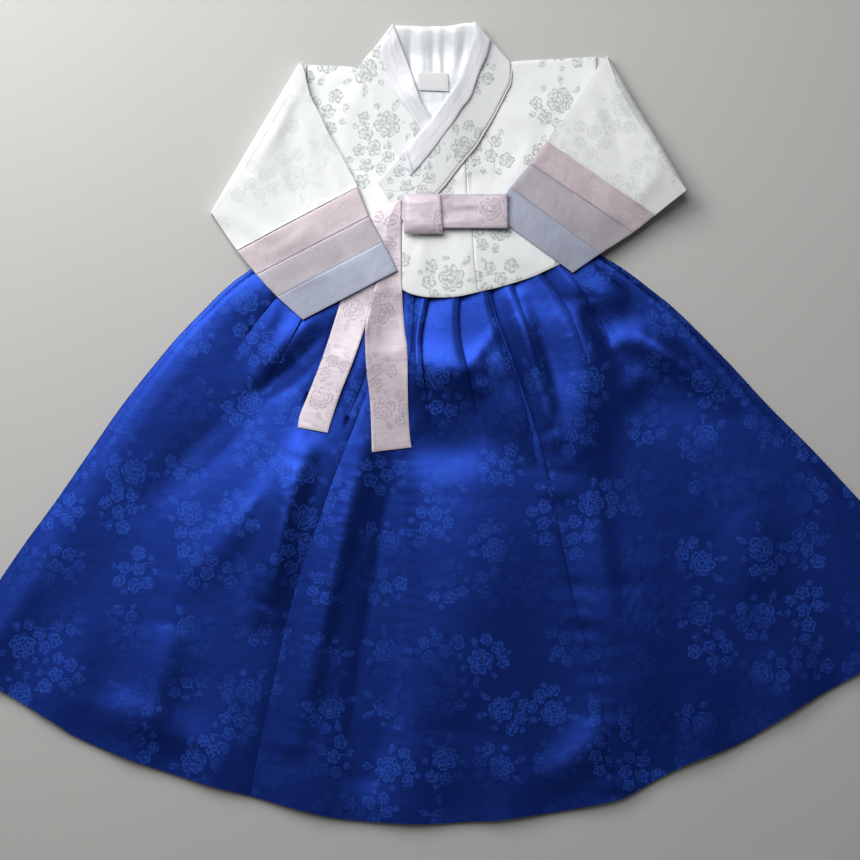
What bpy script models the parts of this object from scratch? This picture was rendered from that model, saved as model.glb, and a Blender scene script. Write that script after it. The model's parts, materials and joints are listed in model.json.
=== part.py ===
"""A girl's hanbok laid flat on a table: pleated satin wrap skirt, lined jacket with folded sleeves, ribbon tie.

Plan positions in the tables are millimetres, x to the right and y towards the neck, from a point in the
middle of the skirt front. Every piece of cloth is a wall: an inner side worked out as rows and columns of
points, and an outer side one thickness away. Pieces are laid one after another on a pile.
"""
import math
from collections import namedtuple

import bmesh
import bpy
import numpy as np

MM = 0.001

# Cloth walls and clearances, in millimetres
SKIRT_WALL = 1.2
JACKET_WALL = 1.5
LINING_WALL = 1.0
COLLAR_WALL = 2.0
STRIP_WALL = 1.2
RIBBON_WALL = 1.2
CUFF_WALL = 1.3
SLEEVE_WALL = 4.6
LABEL_WALL = 1.0
BAND_WALL = 6.5
SEAM_GAP = 0.3
LAYER_GAP = 0.35

# Skirt heights, in millimetres
SIDE_FOLD_RADIUS = 2.2
FRONT_CLEARANCE = 4.2
FRONT_PUFF = 11.0
EDGE_ROUNDING = 62.0
HEM_WAVE = 2.2
HEM_WAVES = 11
BACK_WRAP = 60.0
BACK_TURN = 0.30
BACK_HEM_SHORTER = 0.997

# Outline of the skirt
WAIST_LEFT = (-192, 291)
WAIST_SEAM_LEFT = (-63, 289)
WAIST_SEAM_RIGHT = (90, 291)
WAIST_RIGHT = (213, 297)
SIDE_LEFT = [
    WAIST_LEFT, (-231, 267), (-270, 241), (-306, 214), (-346, 174), (-386, 132), (-459, 42),
    (-510, -31), (-561, -105), (-610, -172), (-645, -223), (-681, -274), (-702, -312), (-708, -337),
]
SIDE_RIGHT = [
    WAIST_RIGHT, (240, 276), (263, 259), (294, 240), (333, 210), (372, 178), (445, 105), (508, 37),
    (576, -31), (645, -105), (696, -160), (732, -204), (753, -243), (759, -273),
]
SEAM_LEFT = [
    WAIST_SEAM_LEFT, (-68, 195), (-78, 135), (-90, 75), (-104, 31), (-148, -82), (-165, -132),
    (-188, -195), (-213, -279), (-238, -391), (-257, -480), (-270, -549),
]
SEAM_RIGHT = [
    WAIST_SEAM_RIGHT, (92, 195), (122, 100), (156, -3), (178, -75), (201, -183), (224, -285),
    (251, -375), (270, -480), (282, -555),
]
HEM_LEFT = [
    (-708, -337), (-697, -362), (-645, -390), (-570, -435), (-528, -462), (-440, -498), (-345, -529),
    (-270, -549),
]
HEM_CENTRE = [
    (-270, -549), (-195, -570), (-136, -583), (-67, -589), (0, -591), (67, -587), (105, -585),
    (208, -570), (282, -555),
]
HEM_RIGHT = [
    (282, -555), (300, -547), (378, -505), (463, -471), (519, -438), (576, -403), (645, -364),
    (717, -322), (750, -300), (759, -273),
]

# Knife pleats, from left to right. place counts widths of cloth across the front, so 1 and 2 are its seams;
# depth is how high the folded edge stands, reach the share of the length it runs down, lean its drift in x.
Pleat = namedtuple("Pleat", "place depth reach lean")
PLEATS = [
    Pleat(0.28, 5.5, 0.12, 0),
    Pleat(0.50, 7.0, 0.18, 0),
    Pleat(0.72, 7.5, 0.20, 0),
    Pleat(0.95, 9.0, 0.22, 0),
    Pleat(1.20, 7.5, 0.12, -10),
    Pleat(1.45, 10.0, 0.15, -20),
    Pleat(1.70, 10.0, 0.15, -10),
    Pleat(1.95, 11.0, 0.29, 0),
    Pleat(2.20, 9.0, 0.10, 0),
    Pleat(2.45, 8.0, 0.09, 20),
    Pleat(2.70, 7.0, 0.06, 14),
    Pleat(2.92, 5.0, 0.03, 0),
]
PLEAT_STOPS = ((0.0, 0.0), (0.3, 0.42), (0.68, 1.0), (1.0, 0.66))
SEAM_PLEAT_STOPS = ((0.0, 0.0), (0.2, 0.25), (0.65, 1.0), (1.0, 0.66))
LIP_OVERHANG = 2.5
BASE_UNDERCUT = 1.5
FADED_SPACING = 3.0
PLEAT_FADE = 0.13

# Largest folds of the skirt front: a crest through three points, its half width and its height
Fold = namedtuple("Fold", "start middle end half_width height")
FOLDS = [
    Fold((-162, 177), (-237, 127), (-291, 52), 26, 11.0),
    Fold((-235, 205), (-231, 170), (-240, 130), 13, 5.0),
    Fold((-297, 52), (-312, 8), (-345, -37), 20, -6.0),
    Fold((-172, 8), (-258, -100), (-395, -200), 32, 13.0),
    Fold((-146, 0), (-186, -105), (-222, -225), 20, 8.0),
    Fold((-84, 60), (-110, -60), (-142, -210), 20, 13.0),
    Fold((-22, 84), (30, 72), (97, 57), 24, 9.0),
    Fold((-15, -5), (37, -18), (105, 0), 28, -8.0),
    Fold((-7, -105), (60, -112), (135, -105), 42, 9.0),
    Fold((-67, -240), (0, -240), (60, -255), 44, 6.0),
    Fold((123, 127), (147, 45), (180, -40), 22, 10.0),
    Fold((222, 142), (231, 67), (217, -7), 26, 12.0),
    Fold((240, 198), (261, 211), (291, 217), 14, 9.0),
    Fold((213, 156), (252, 156), (292, 183), 14, -8.0),
    Fold((261, 126), (285, 150), (330, 153), 14, 8.0),
    Fold((264, 112), (322, 108), (405, 87), 14, -7.0),
    Fold((255, 78), (303, 84), (375, 57), 20, 7.0),
    Fold((315, 42), (405, 33), (495, 8), 22, -4.0),
    Fold((255, -90), (330, -60), (405, -67), 46, 8.0),
    Fold((204, -75), (219, -165), (242, -285), 20, 7.0),
    Fold((165, -540), (217, -502), (255, -440), 30, 7.0),
    Fold((-510, -430), (-420, -448), (-330, -500), 34, 6.0),
    Fold((-487, -240), (-495, -315), (-502, -390), 24, -4.0),
    Fold((-420, -285), (-435, -365), (-450, -440), 30, 6.0),
    Fold((390, -60), (435, -195), (495, -315), 48, 5.0),
    Fold((-15, -290), (10, -370), (40, -450), 52, 5.0),
]

# Rows down the skirt, as shares of its length
SKIRT_ROWS = (
    0.0, 0.04, 0.075, 0.105, 0.135, 0.165, 0.195, 0.225, 0.26, 0.30, 0.34, 0.385, 0.435, 0.49, 0.55,
    0.61, 0.68, 0.76, 0.84, 0.91, 0.965, 1.0,
)

# Jacket outline
ARMHOLE_LEFT = [(-184, 549), (-187, 460), (-188, 345), (-188, 262)]
ARMHOLE_RIGHT = [(249, 561), (252, 460), (253, 350), (254, 276)]
SHOULDER_RIGHT_OUTER = [(96, 540), (121, 553), (165, 556), (195, 558), (232, 560), (252, 561)]
FRONT_HEM = [
    (-188, 252), (-120, 228), (-60, 214), (-42, 210), (-30, 204), (-8, 199), (20, 198), (45, 200),
    (75, 207), (105, 214), (150, 228), (190, 246), (220, 259), (254, 272),
]
OVERLAP_EDGE = [(-42, 330), (-42, 210)]
OVERLAP_SEAM = [(33, 468), (52, 405), (56, 352), (63, 297), (67, 247), (72, 206)]
NECK_TO_OVERLAP = [(-42, 330), (33, 468)]
OUTER_TOP = [(33, 468), (58, 505), (96, 540), (121, 553), (195, 558), (249, 561)]
INNER_TOP = [(-184, 549), (-142, 547), (-120, 546), (-108, 543), (-84, 541)]
INNER_EDGE = [(-84, 541), (-40, 480), (0, 420), (-8, 320), (-20, 206)]
INNER_OVERLAP_EDGE = [(66, 345), (68, 208)]

# Collar edges, from the neck down to the crossing and beyond
COLLAR_OUTER_INSIDE = [
    (66, 613), (65, 592), (57, 562), (49, 540), (37, 517), (25, 499), (12, 480), (0, 463), (-15, 447),
    (-30, 429), (-45, 412), (-60, 394), (-79, 373),
]
COLLAR_OUTER_OUTSIDE = [
    (121, 552), (120, 525), (112, 507), (102, 487), (90, 465), (79, 447), (67, 427), (52, 409),
    (37, 390), (22, 370), (6, 352), (-13, 330), (-36, 306),
]
COLLAR_INNER_INSIDE = [
    (-55, 609), (-45, 582), (-30, 543), (-15, 499), (-3, 477), (10, 455), (30, 429), (57, 397),
]
COLLAR_INNER_OUTSIDE = [
    (-108, 543), (-106, 528), (-94, 513), (-82, 484), (-67, 450), (-47, 411), (-22, 369), (3, 327),
]
COLLAR_PIPING_WIDTH = 4.5
STRIP_OUTER_OUTSIDE = [
    (90, 585), (85, 562), (75, 540), (67, 517), (60, 498), (48, 483), (37, 465), (22, 445), (7, 424),
    (-8, 405), (-18, 393), (-29, 381),
]
STRIP_OUTER_LENGTH = 0.795
STRIP_INNER_OUTSIDE = [
    (-70, 585), (-74, 566), (-67, 540), (-48, 499), (-33, 480), (-15, 452), (0, 430),
]
STRIP_INNER_LENGTH = 0.74
STRIP_OVERLAP = 0.8

# Neck opening
LINING_TOP = [(-58, 607), (-30, 606), (0, 605), (30, 606), (52, 610), (68, 611)]
LINING_LEFT = [(-58, 607), (-50, 582), (-36, 543), (-22, 499), (-8, 462)]
LINING_RIGHT = [(68, 611), (66, 582), (55, 543), (34, 502), (12, 462)]
LINING_FOLDS = 5
LINING_FOLD_HEIGHT = 1.6
NECK_RISE = 7.0
LABEL_CORNERS = ((-18, 536), (27, 536), (-17, 510), (28, 508))

# Sleeves: the folded-down flap's inner edge and under edge, from the crease to the cuff, with the marks
# where the pink, mauve and blue bands begin, and the armhole end of the hidden lower layer
Sleeve = namedtuple("Sleeve", "side crease top_edge under_edge top_marks under_marks armhole puff")
SLEEVES = [
    Sleeve(
        "left",
        ((-196, 552), (-330, 326)),
        [(-196, 552), (-180, 502), (-165, 472), (-150, 440), (-135, 415), (-120, 387), (-108, 363),
         (-90, 319), (-70, 281), (-48, 238)],
        [(-330, 326), (-288, 268), (-259, 232), (-228, 199), (-190, 165)],
        ((-108, 363), (-90, 319), (-70, 281)),
        ((-288, 268), (-259, 232), (-228, 199)),
        ((-186, 548), (-190.5, 316)),
        4.0,
    ),
    Sleeve(
        "right",
        ((268, 560), (384, 358)),
        [(268, 560), (255, 546), (243, 528), (232, 510), (217, 487), (202, 468), (187, 450), (175, 433),
         (150, 399), (120, 363), (91, 324)],
        [(384, 358), (337, 322), (303, 295), (255, 264), (213, 235)],
        ((175, 433), (150, 399), (120, 363)),
        ((337, 322), (303, 295), (255, 264)),
        ((254, 560), (262, 316)),
        6.0,
    ),
]
SLEEVE_ACROSS = (0.0, 0.05, 0.18, 0.36, 0.54, 0.72, 0.88, 0.96, 1.0)
CUFF_HOLLOW = 2.4
CUFF_NAMES = ("pink", "mauve", "blue")

# Ribbon tie
TAIL_LONG_LEFT = [
    (-52, 342), (-66, 307), (-69, 282), (-81, 220), (-87, 195), (-95, 165), (-97, 135), (-95, 90),
    (-90, 45), (-88, 0), (-87, -33),
]
TAIL_LONG_RIGHT = [
    (-43, 345), (-43, 285), (-42, 210), (-38, 150), (-34, 120), (-33, 45), (-31, 0), (-28, -26),
]
TAIL_SHORT_LEFT = [
    (-58, 341), (-87, 320), (-117, 262), (-135, 190), (-145, 157), (-157, 120), (-168, 90), (-183, 52),
    (-195, 22), (-198, 4),
]
TAIL_SHORT_RIGHT = [
    (-50, 335), (-64, 285), (-80, 219), (-90, 180), (-101, 142), (-117, 97), (-135, 52), (-150, 7),
    (-153, -4),
]
KNOT_LEFT, KNOT_RIGHT = -40, 17
KNOT_TOP, KNOT_BOTTOM = 351, 293
KNOT_SLANT = 4.0
KNOT_CROWN = 4.0
LOOP_LEFT, LOOP_RIGHT = -30, 117
LOOP_TOP, LOOP_BOTTOM = 352, 301
LOOP_FOLD_RADIUS = 2.6

# Finishes: colour, roughness, metallic
FINISHES = {
    "skirt_satin": ((0.014, 0.055, 0.36), 0.38, 0.0),
    "skirt_band": ((0.70, 0.72, 0.74), 0.7, 0.0),
    "jacket_brocade": ((0.76, 0.80, 0.80), 0.42, 0.0),
    "neck_lining": ((0.68, 0.70, 0.73), 0.35, 0.0),
    "collar_strip": ((0.74, 0.76, 0.80), 0.5, 0.0),
    "collar_edging": ((0.68, 0.68, 0.62), 0.55, 0.0),
    "ribbon_satin": ((0.62, 0.52, 0.58), 0.42, 0.0),
    "cuff_pink": ((0.56, 0.43, 0.45), 0.45, 0.0),
    "cuff_mauve": ((0.40, 0.37, 0.41), 0.45, 0.0),
    "cuff_blue": ((0.36, 0.40, 0.53), 0.45, 0.0),
    "label_tape": ((0.72, 0.73, 0.75), 0.7, 0.0),
}


class Line:
    """A line through a few points, smooth unless it is straight, read by the share of its length."""

    STEPS = 8

    def __init__(self, points, straight=False):
        knots = np.array(points, dtype=float)
        self.points = knots if straight else self.smoothed(knots)
        lengths = np.hypot(*np.diff(self.points, axis=0).T)
        self.length = lengths.sum()
        self.shares = np.concatenate([[0.0], np.cumsum(lengths)]) / self.length

    def smoothed(self, knots):
        """Points along a Catmull-Rom curve."""
        ends = np.vstack([2 * knots[0] - knots[1], knots, 2 * knots[-1] - knots[-2]])
        found = []
        for before, start, end, after in zip(ends, ends[1:], ends[2:], ends[3:]):
            for t in np.linspace(0.0, 1.0, self.STEPS, endpoint=False):
                found.append(
                    0.5 * (2 * start + (end - before) * t
                           + (2 * before - 5 * start + 4 * end - after) * t ** 2
                           + (3 * start - before - 3 * end + after) * t ** 3)
                )
        found.append(knots[-1])
        return np.array(found)

    def at(self, shares):
        """The points at these shares of the length."""
        return np.stack([np.interp(shares, self.shares, self.points[:, k]) for k in (0, 1)], axis=-1)

    def heading(self, shares):
        """The unit direction at these shares of the length."""
        step = 0.01
        ahead = self.at(np.clip(np.asarray(shares) + step, 0, 1))
        behind = self.at(np.clip(np.asarray(shares) - step, 0, 1))
        ways = ahead - behind
        return ways / np.linalg.norm(ways, axis=-1, keepdims=True)

    def share_near(self, point):
        """The share of the length at which the line passes a point."""
        dense = np.linspace(0.0, 1.0, 2001)
        away = np.linalg.norm(self.at(dense) - np.array(point, dtype=float), axis=-1)
        return dense[away.argmin()]


def smooth(value):
    """Smooth step from 0 to 1."""
    t = np.clip(value, 0.0, 1.0)
    return t * t * (3 - 2 * t)


def patch(left, right, top, bottom, across, down):
    """Plan points that fill four edge lines: a row for each share down, a column for each share across."""
    s = np.asarray(across, dtype=float)[None, :, None]
    t = np.asarray(down, dtype=float)[:, None, None]
    sides = (1 - s) * left.at(down)[:, None, :] + s * right.at(down)[:, None, :]
    ends = (1 - t) * top.at(across)[None] + t * bottom.at(across)[None]
    upper = (1 - s) * left.at(0.0) + s * right.at(0.0)
    lower = (1 - s) * left.at(1.0) + s * right.at(1.0)
    return sides + ends - ((1 - t) * upper + t * lower)


def with_height(plan, height):
    """Plan points and their heights as one array of points."""
    return np.concatenate([plan, np.broadcast_to(height, plan.shape[:2])[..., None]], axis=-1)


def outer_side(inner, thickness):
    """The far side of a wall, one thickness away on the side that faces up at the wall's last column."""
    along = inner[1:, 1:] - inner[:-1, :-1]
    over = inner[:-1, 1:] - inner[1:, :-1]
    faces = np.cross(along, over)
    faces = faces / np.maximum(np.linalg.norm(faces, axis=-1, keepdims=True), 1e-9)
    if faces[:, -1, 2].mean() < 0:
        faces = -faces
    total = np.zeros_like(inner)
    count = np.zeros(inner.shape[:2] + (1,))
    for rows in (slice(None, -1), slice(1, None)):
        for columns in (slice(None, -1), slice(1, None)):
            total[rows, columns] += faces
            count[rows, columns] += 1
    mean = total / count
    length = np.linalg.norm(mean, axis=-1, keepdims=True)
    reach = np.broadcast_to(np.asarray(thickness, dtype=float), inner.shape[:2])[..., None]
    return inner + mean / length * reach / np.clip(length, 0.75, 1.0)


class Pile:
    """The height of what already lies on the table, kept on a square net, for the next layer to rest on."""

    CELL = 3.0
    LOW = np.array((-780.0, -640.0))
    HIGH = np.array((820.0, 660.0))

    def __init__(self):
        columns, rows = ((self.HIGH - self.LOW) / self.CELL).astype(int) + 1
        self.heights = np.zeros((rows, columns))

    def cover(self, points):
        """Adds a piece by the points of its upper side."""
        longest = max(
            np.linalg.norm(np.diff(points[..., :2], axis=0), axis=-1).max(),
            np.linalg.norm(np.diff(points[..., :2], axis=1), axis=-1).max(),
        )
        shares = np.linspace(0.0, 1.0, int(longest / self.CELL * 1.6) + 2)
        for a in shares:
            for b in shares:
                mixed = (
                    (1 - a) * (1 - b) * points[:-1, :-1] + a * (1 - b) * points[1:, :-1]
                    + (1 - a) * b * points[:-1, 1:] + a * b * points[1:, 1:]
                ).reshape(-1, 3)
                column, row = np.round((mixed[:, :2] - self.LOW) / self.CELL).astype(int).T
                np.maximum.at(self.heights, (row, column), mixed[:, 2])

    def rest(self, plan):
        """The lowest height at which each point of a piece clears everything under its own cells."""
        found = np.zeros(plan.shape[:2])
        for i in range(plan.shape[0]):
            for j in range(plan.shape[1]):
                near = plan[max(i - 1, 0):i + 2, max(j - 1, 0):j + 2].reshape(-1, 2)
                low = np.floor((near.min(axis=0) - self.LOW) / self.CELL).astype(int)
                high = np.ceil((near.max(axis=0) - self.LOW) / self.CELL).astype(int)
                found[i, j] = self.heights[low[1]:high[1] + 1, low[0]:high[0] + 1].max()
        return found


def draped(height, rounds):
    """Heights of stiff cloth, which spans the dips between the points that carry it."""
    lowest = height.copy()
    for _ in range(rounds):
        padded = np.pad(height, 1, mode="edge")
        mean = (padded[:-2, 1:-1] + padded[2:, 1:-1] + padded[1:-1, :-2] + padded[1:-1, 2:]) / 4
        height = np.maximum(lowest, mean)
    return height


def finish(name):
    """The material of one finish, made once."""
    material = bpy.data.materials.get(name)
    if material is None:
        colour, roughness, metallic = FINISHES[name]
        material = bpy.data.materials.new(name)
        material.use_nodes = True
        shader = material.node_tree.nodes["Principled BSDF"]
        shader.inputs["Base Color"].default_value = (*colour, 1.0)
        shader.inputs["Roughness"].default_value = roughness
        shader.inputs["Metallic"].default_value = metallic
        material.diffuse_color = (*colour, 1.0)
    return material


def sew(name, inner, outer, finish_name):
    """Makes one closed piece of cloth between its inner and outer side."""
    rows, columns = inner.shape[:2]
    shape = bmesh.new()
    bmesh.ops.create_grid(shape, x_segments=columns - 1, y_segments=rows - 1, size=1.0)
    shape.verts.ensure_lookup_table()
    place = shape.verts.layers.int.new("place")
    for index, vertex in enumerate(shape.verts):
        vertex[place] = index
    sides = np.array((inner.reshape(-1, 3), outer.reshape(-1, 3))) * MM
    made = bmesh.ops.extrude_face_region(shape, geom=shape.faces[:], use_keep_orig=True)
    far = {item for item in made["geom"] if isinstance(item, bmesh.types.BMVert)}
    for vertex in shape.verts:
        vertex.co = sides[1 if vertex in far else 0][vertex[place]]
    bmesh.ops.recalc_face_normals(shape, faces=shape.faces[:])
    if shape.calc_volume(signed=True) < 0:
        bmesh.ops.reverse_faces(shape, faces=shape.faces[:])
    mesh = bpy.data.meshes.new(name)
    shape.to_mesh(mesh)
    shape.free()
    mesh.materials.append(finish(finish_name))
    mesh.shade_smooth()
    mesh.set_sharp_from_angle(angle=math.radians(50))
    piece = bpy.data.objects.new(name, mesh)
    bpy.context.scene.collection.objects.link(piece)
    return piece


def lay(pile, name, plan, wall, finish_name, rounds=4, extra=0.0):
    """Lays a piece on the pile as one wall and adds it to the pile."""
    height = draped(pile.rest(plan) + LAYER_GAP, rounds) + extra
    inner = with_height(plan, height)
    outer = outer_side(inner, wall)
    pile.cover(outer)
    return sew(name, inner, outer, finish_name)


def split(inner, outer, column):
    """Cuts a wall in two at a column and opens the seam gap there."""
    left = [side[:, :column + 1].copy() for side in (inner, outer)]
    right = [side[:, column:].copy() for side in (inner, outer)]
    for side in left:
        side[:, -1, 0] -= SEAM_GAP / 2
    for side in right:
        side[:, 0, 0] += SEAM_GAP / 2
    return left, right


# Skirt


def inset(points, sign):
    """A side line of the skirt, moved in to where its cloth starts to turn."""
    line = Line(points)
    shares = np.linspace(0.0, 1.0, 28)
    ways = line.heading(shares)
    outward = sign * np.stack([-ways[:, 1], ways[:, 0]], axis=-1)
    return Line(line.at(shares) - outward * (SIDE_FOLD_RADIUS + SKIRT_WALL)), outward, shares


class SkirtPlan:
    """The three front widths of the skirt, in plan, as one place across and one share down."""

    def __init__(self):
        side_left, self.out_left, self.out_shares = inset(SIDE_LEFT, -1)
        side_right, self.out_right, _ = inset(SIDE_RIGHT, 1)
        left_foot = tuple(side_left.at(1.0))
        right_foot = tuple(side_right.at(1.0))
        seams = [side_left, Line(SEAM_LEFT), Line(SEAM_RIGHT), side_right]
        hems = [Line([left_foot, *HEM_LEFT[1:]]), Line(HEM_CENTRE), Line([*HEM_RIGHT[:-1], right_foot])]
        self.widths = []
        for left, right, hem in zip(seams, seams[1:], hems):
            waist = Line([tuple(left.at(0.0)), tuple(right.at(0.0))], straight=True)
            self.widths.append((left, right, waist, hem))

    def at(self, place, down):
        """Plan points of one column at a place from 0 to 3."""
        width = min(int(place), 2)
        return patch(*self.widths[width], [place - width], down)[:, 0]

    def outward(self, sign, down):
        """The outward direction at a side fold."""
        ways = self.out_left if sign < 0 else self.out_right
        return np.stack([np.interp(down, self.out_shares, ways[:, k]) for k in (0, 1)], axis=-1)


def pleat_strength(pleat, down):
    """How much of a pleat is left at a share of the skirt's length."""
    return 1.0 - smooth((down - pleat.reach) / PLEAT_FADE)


def pleat_lean(pleat, down):
    """How far a pleat's edge has drifted sideways, which dies out below it."""
    return pleat.lean * smooth(down / pleat.reach) * (1.0 - smooth((down - pleat.reach) / 0.25))


def fold_height(plan):
    """The sum of the large folds at plan points."""
    total = np.zeros(plan.shape[:-1])
    for fold in FOLDS:
        crest = Line([fold.start, fold.middle, fold.end])
        shares = np.linspace(0.0, 1.0, 25)
        away = np.linalg.norm(plan[..., None, :] - crest.at(shares), axis=-1)
        nearest = away.argmin(axis=-1)
        ends = np.sin(math.pi * np.clip(shares[nearest], 0.04, 0.96)) ** 0.5
        total += fold.height * ends * np.exp(-(away.min(axis=-1) / fold.half_width) ** 2)
    return total


def front_columns():
    """Each column of the skirt front: its place, its share between two pleats, its rise, and those pleats."""
    found = [(0.02, 0.5, 0.0, None, None)]
    edges = [None, *PLEATS, None]
    for before, after in zip(edges, edges[1:]):
        start = before.place if before else 0.0
        end = after.place if after else 3.0
        crosses_seam = before is not None and int(start) != int(end)
        stops = SEAM_PLEAT_STOPS if crosses_seam else PLEAT_STOPS
        if before is None:
            stops = stops[-1:]
        if after is None:
            stops = stops[:2]
        for share, rise in stops:
            found.append((start + (end - start) * share, share, rise, before, after))
    found.append((2.985, 0.5, 0.0, None, None))
    return found


def skirt_front(plan, down):
    """Inner side of the whole skirt front, with the columns at which its seams lie."""
    left_edge, right_edge = plan.at(0.0, down)[:, 0], plan.at(3.0, down)[:, 0]
    columns = []
    seams = []
    for place, share, rise, before, after in front_columns():
        if abs(place - round(place)) < 1e-6:
            seams.append(len(columns))
            place = float(round(place))
        points = plan.at(place, down)
        height = np.zeros(len(down))
        if before is not None:
            points[:, 0] += (1 - share) * pleat_lean(before, down)
            if share == 0.0:
                strength = pleat_strength(before, down)
                points[:, 0] += FADED_SPACING - (FADED_SPACING + BASE_UNDERCUT) * strength
        if after is not None:
            points[:, 0] += share * pleat_lean(after, down)
            strength = pleat_strength(after, down)
            height += rise * after.depth * strength
            if share == 1.0:
                points[:, 0] -= FADED_SPACING - (FADED_SPACING + LIP_OVERHANG) * strength
        from_side = min(place, 3 - place)
        inside = np.minimum(points[:, 0] - left_edge, right_edge - points[:, 0])
        crown = smooth(inside / EDGE_ROUNDING) ** 0.5
        swell = FRONT_PUFF * smooth(down / 0.2) * (1 - 0.93 * smooth((down - 0.25) / 0.7)) + 2.0
        folds = fold_height(points) * smooth(down / 0.12) * (1 - smooth((down - 0.9) / 0.1))
        wave = HEM_WAVE * (1 + np.sin(place / 3 * HEM_WAVES * 2 * math.pi)) * smooth((down - 0.7) / 0.3)
        height += np.maximum(crown * (swell + wave + folds), 0.0)
        edge = SKIRT_WALL + 2 * SIDE_FOLD_RADIUS
        base = edge + (FRONT_CLEARANCE - edge) * smooth(from_side / 0.15)
        columns.append(with_height(points[:, None], (base + height)[:, None])[:, 0])
    return np.stack(columns, axis=1), seams


def side_turn(plan, sign, down):
    """Inner side of a side width behind the skirt: along the table to the side fold, then round it."""
    edge_place = 0.0 if sign < 0 else 3.0
    columns = []
    for share in (1.0, 0.66, 0.33, 0.1):
        place = edge_place - sign * BACK_TURN * share
        points = plan.at(place, down * BACK_HEM_SHORTER)
        columns.append(with_height(points[:, None], SKIRT_WALL)[:, 0])
    for turn in np.radians((-90, -45, 0, 45, 90)):
        lift = (turn / math.pi + 0.5) * (1 - BACK_HEM_SHORTER)
        points = plan.at(edge_place, down * (BACK_HEM_SHORTER + lift))
        points = points + plan.outward(sign, down) * SIDE_FOLD_RADIUS * math.cos(turn)
        height = SKIRT_WALL + SIDE_FOLD_RADIUS * (1 + math.sin(turn))
        columns.append(with_height(points[:, None], height)[:, 0])
    return np.stack(columns, axis=1)


def make_skirt(pile):
    """The skirt's widths and its band."""
    plan = SkirtPlan()
    down = np.array(SKIRT_ROWS)
    front, seams = skirt_front(plan, down)
    outer = outer_side(front, SKIRT_WALL)
    left, rest = split(front, outer, seams[0])
    centre, right = split(*rest, seams[1] - seams[0])
    for name, sign, (inner, upper) in (("left", -1, left), ("right", 1, right)):
        turn = side_turn(plan, sign, down)
        if sign > 0:
            inner, upper = inner[:, ::-1], upper[:, ::-1]
        whole = np.concatenate([turn, inner], axis=1)
        whole_outer = outer_side(whole, SKIRT_WALL)
        whole_outer[:, -1] = upper[:, -1]
        whole_outer[..., 2] = np.maximum(whole_outer[..., 2], 0.0)
        whole_outer[:, :4, 2] = 0.0
        sew(f"skirt_side_{name}", whole, whole_outer, "skirt_satin")
        pile.cover(whole_outer[:, 4:])
    sew("skirt_front_centre", *centre, "skirt_satin")
    pile.cover(outer)
    make_skirt_backs(plan)
    make_waistband(pile)


def make_skirt_backs(plan):
    """The two back widths, which lie on the table and overlap at the centre back."""
    down = np.array(SKIRT_ROWS)
    lengths = down * BACK_HEM_SHORTER
    middle = plan.at(1.5, lengths)[:, 0]
    half_wrap = BACK_WRAP * (0.4 + 0.6 * down)
    places = np.linspace(BACK_TURN, 3 - BACK_TURN, 25)
    net = np.stack([plan.at(place, lengths) for place in places], axis=1)
    left_edge = net[:, 0, 0] + SEAM_GAP
    right_edge = net[:, -1, 0] - SEAM_GAP
    lift = SKIRT_WALL + LAYER_GAP
    left_columns = (
        (left_edge, 0.0), (left_edge * 0.66 + middle * 0.34, 0.0), (left_edge * 0.33 + middle * 0.67, 0.0),
        (middle + half_wrap, 0.0),
    )
    right_columns = (
        (middle - half_wrap, lift), (middle + half_wrap + 6.0, lift), (middle + half_wrap + 26.0, 0.0),
        (right_edge * 0.5 + middle * 0.5, 0.0), (right_edge, 0.0),
    )
    for name, columns in (("left", left_columns), ("right", right_columns)):
        x = np.stack([column for column, _ in columns], axis=1)
        y = np.stack([np.interp(places_x, row[:, 0], row[:, 1]) for places_x, row in zip(x, net)])
        height = np.broadcast_to([rise for _, rise in columns], x.shape)
        inner = np.stack([x, y, height], axis=-1)
        outer = inner + np.array((0.0, 0.0, SKIRT_WALL))
        sew(f"skirt_back_{name}", inner, outer, "skirt_satin")


def make_waistband(pile):
    """The plain band above the pleats."""
    left, right = WAIST_LEFT[0] + 4.0, WAIST_RIGHT[0] - 4.0
    across = np.linspace(0.0, 1.0, 9)
    low_line = Line([WAIST_LEFT, WAIST_SEAM_LEFT, WAIST_SEAM_RIGHT, WAIST_RIGHT], straight=True)
    rows = []
    for lift in (SEAM_GAP * 2, 12.0, 34.0, 45.0):
        x = left + (right - left) * across
        y = np.interp(x, low_line.points[:, 0], low_line.points[:, 1]) + lift
        rows.append(np.stack([x, y], axis=-1))
    plan = np.array(rows[::-1])
    inner = with_height(plan, 0.0)
    thickness = np.full(plan.shape[:2], BAND_WALL)
    thickness[0] = thickness[-1] = BAND_WALL * 0.8
    thickness[:, 0] = thickness[:, -1] = BAND_WALL * 0.8
    outer = inner.copy()
    outer[..., 2] = thickness
    pile.cover(outer)
    sew("skirt_waistband", inner, outer, "skirt_band")


# Jacket


def make_jacket_back(pile):
    """The hidden back body and the back of the collar."""
    across = np.linspace(0.0, 1.0, 12)
    down = np.linspace(0.0, 1.0, 10)
    left = Line([(-182, 545), (-187, 258)], straight=True)
    right = Line([(248, 556), (253, 280)], straight=True)
    top = Line([(-182, 545), (0, 540), (248, 556)])
    hem = Line([(-187, 258), (-60, 218), (20, 204), (105, 220), (253, 280)])
    lay(pile, "jacket_back", patch(left, right, top, hem, across, down), JACKET_WALL, "jacket_brocade")
    collar = patch(
        Line([(-56, 602), (-103, 552), (-98, 530)]), Line([(66, 606), (116, 558), (112, 536)]),
        Line([(-56, 602), (0, 600), (66, 606)]), Line([(-98, 530), (0, 524), (112, 536)]),
        np.linspace(0.0, 1.0, 9), np.linspace(0.0, 1.0, 4),
    )
    lay(pile, "collar_back", collar, JACKET_WALL, "jacket_brocade", rounds=1)


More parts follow.
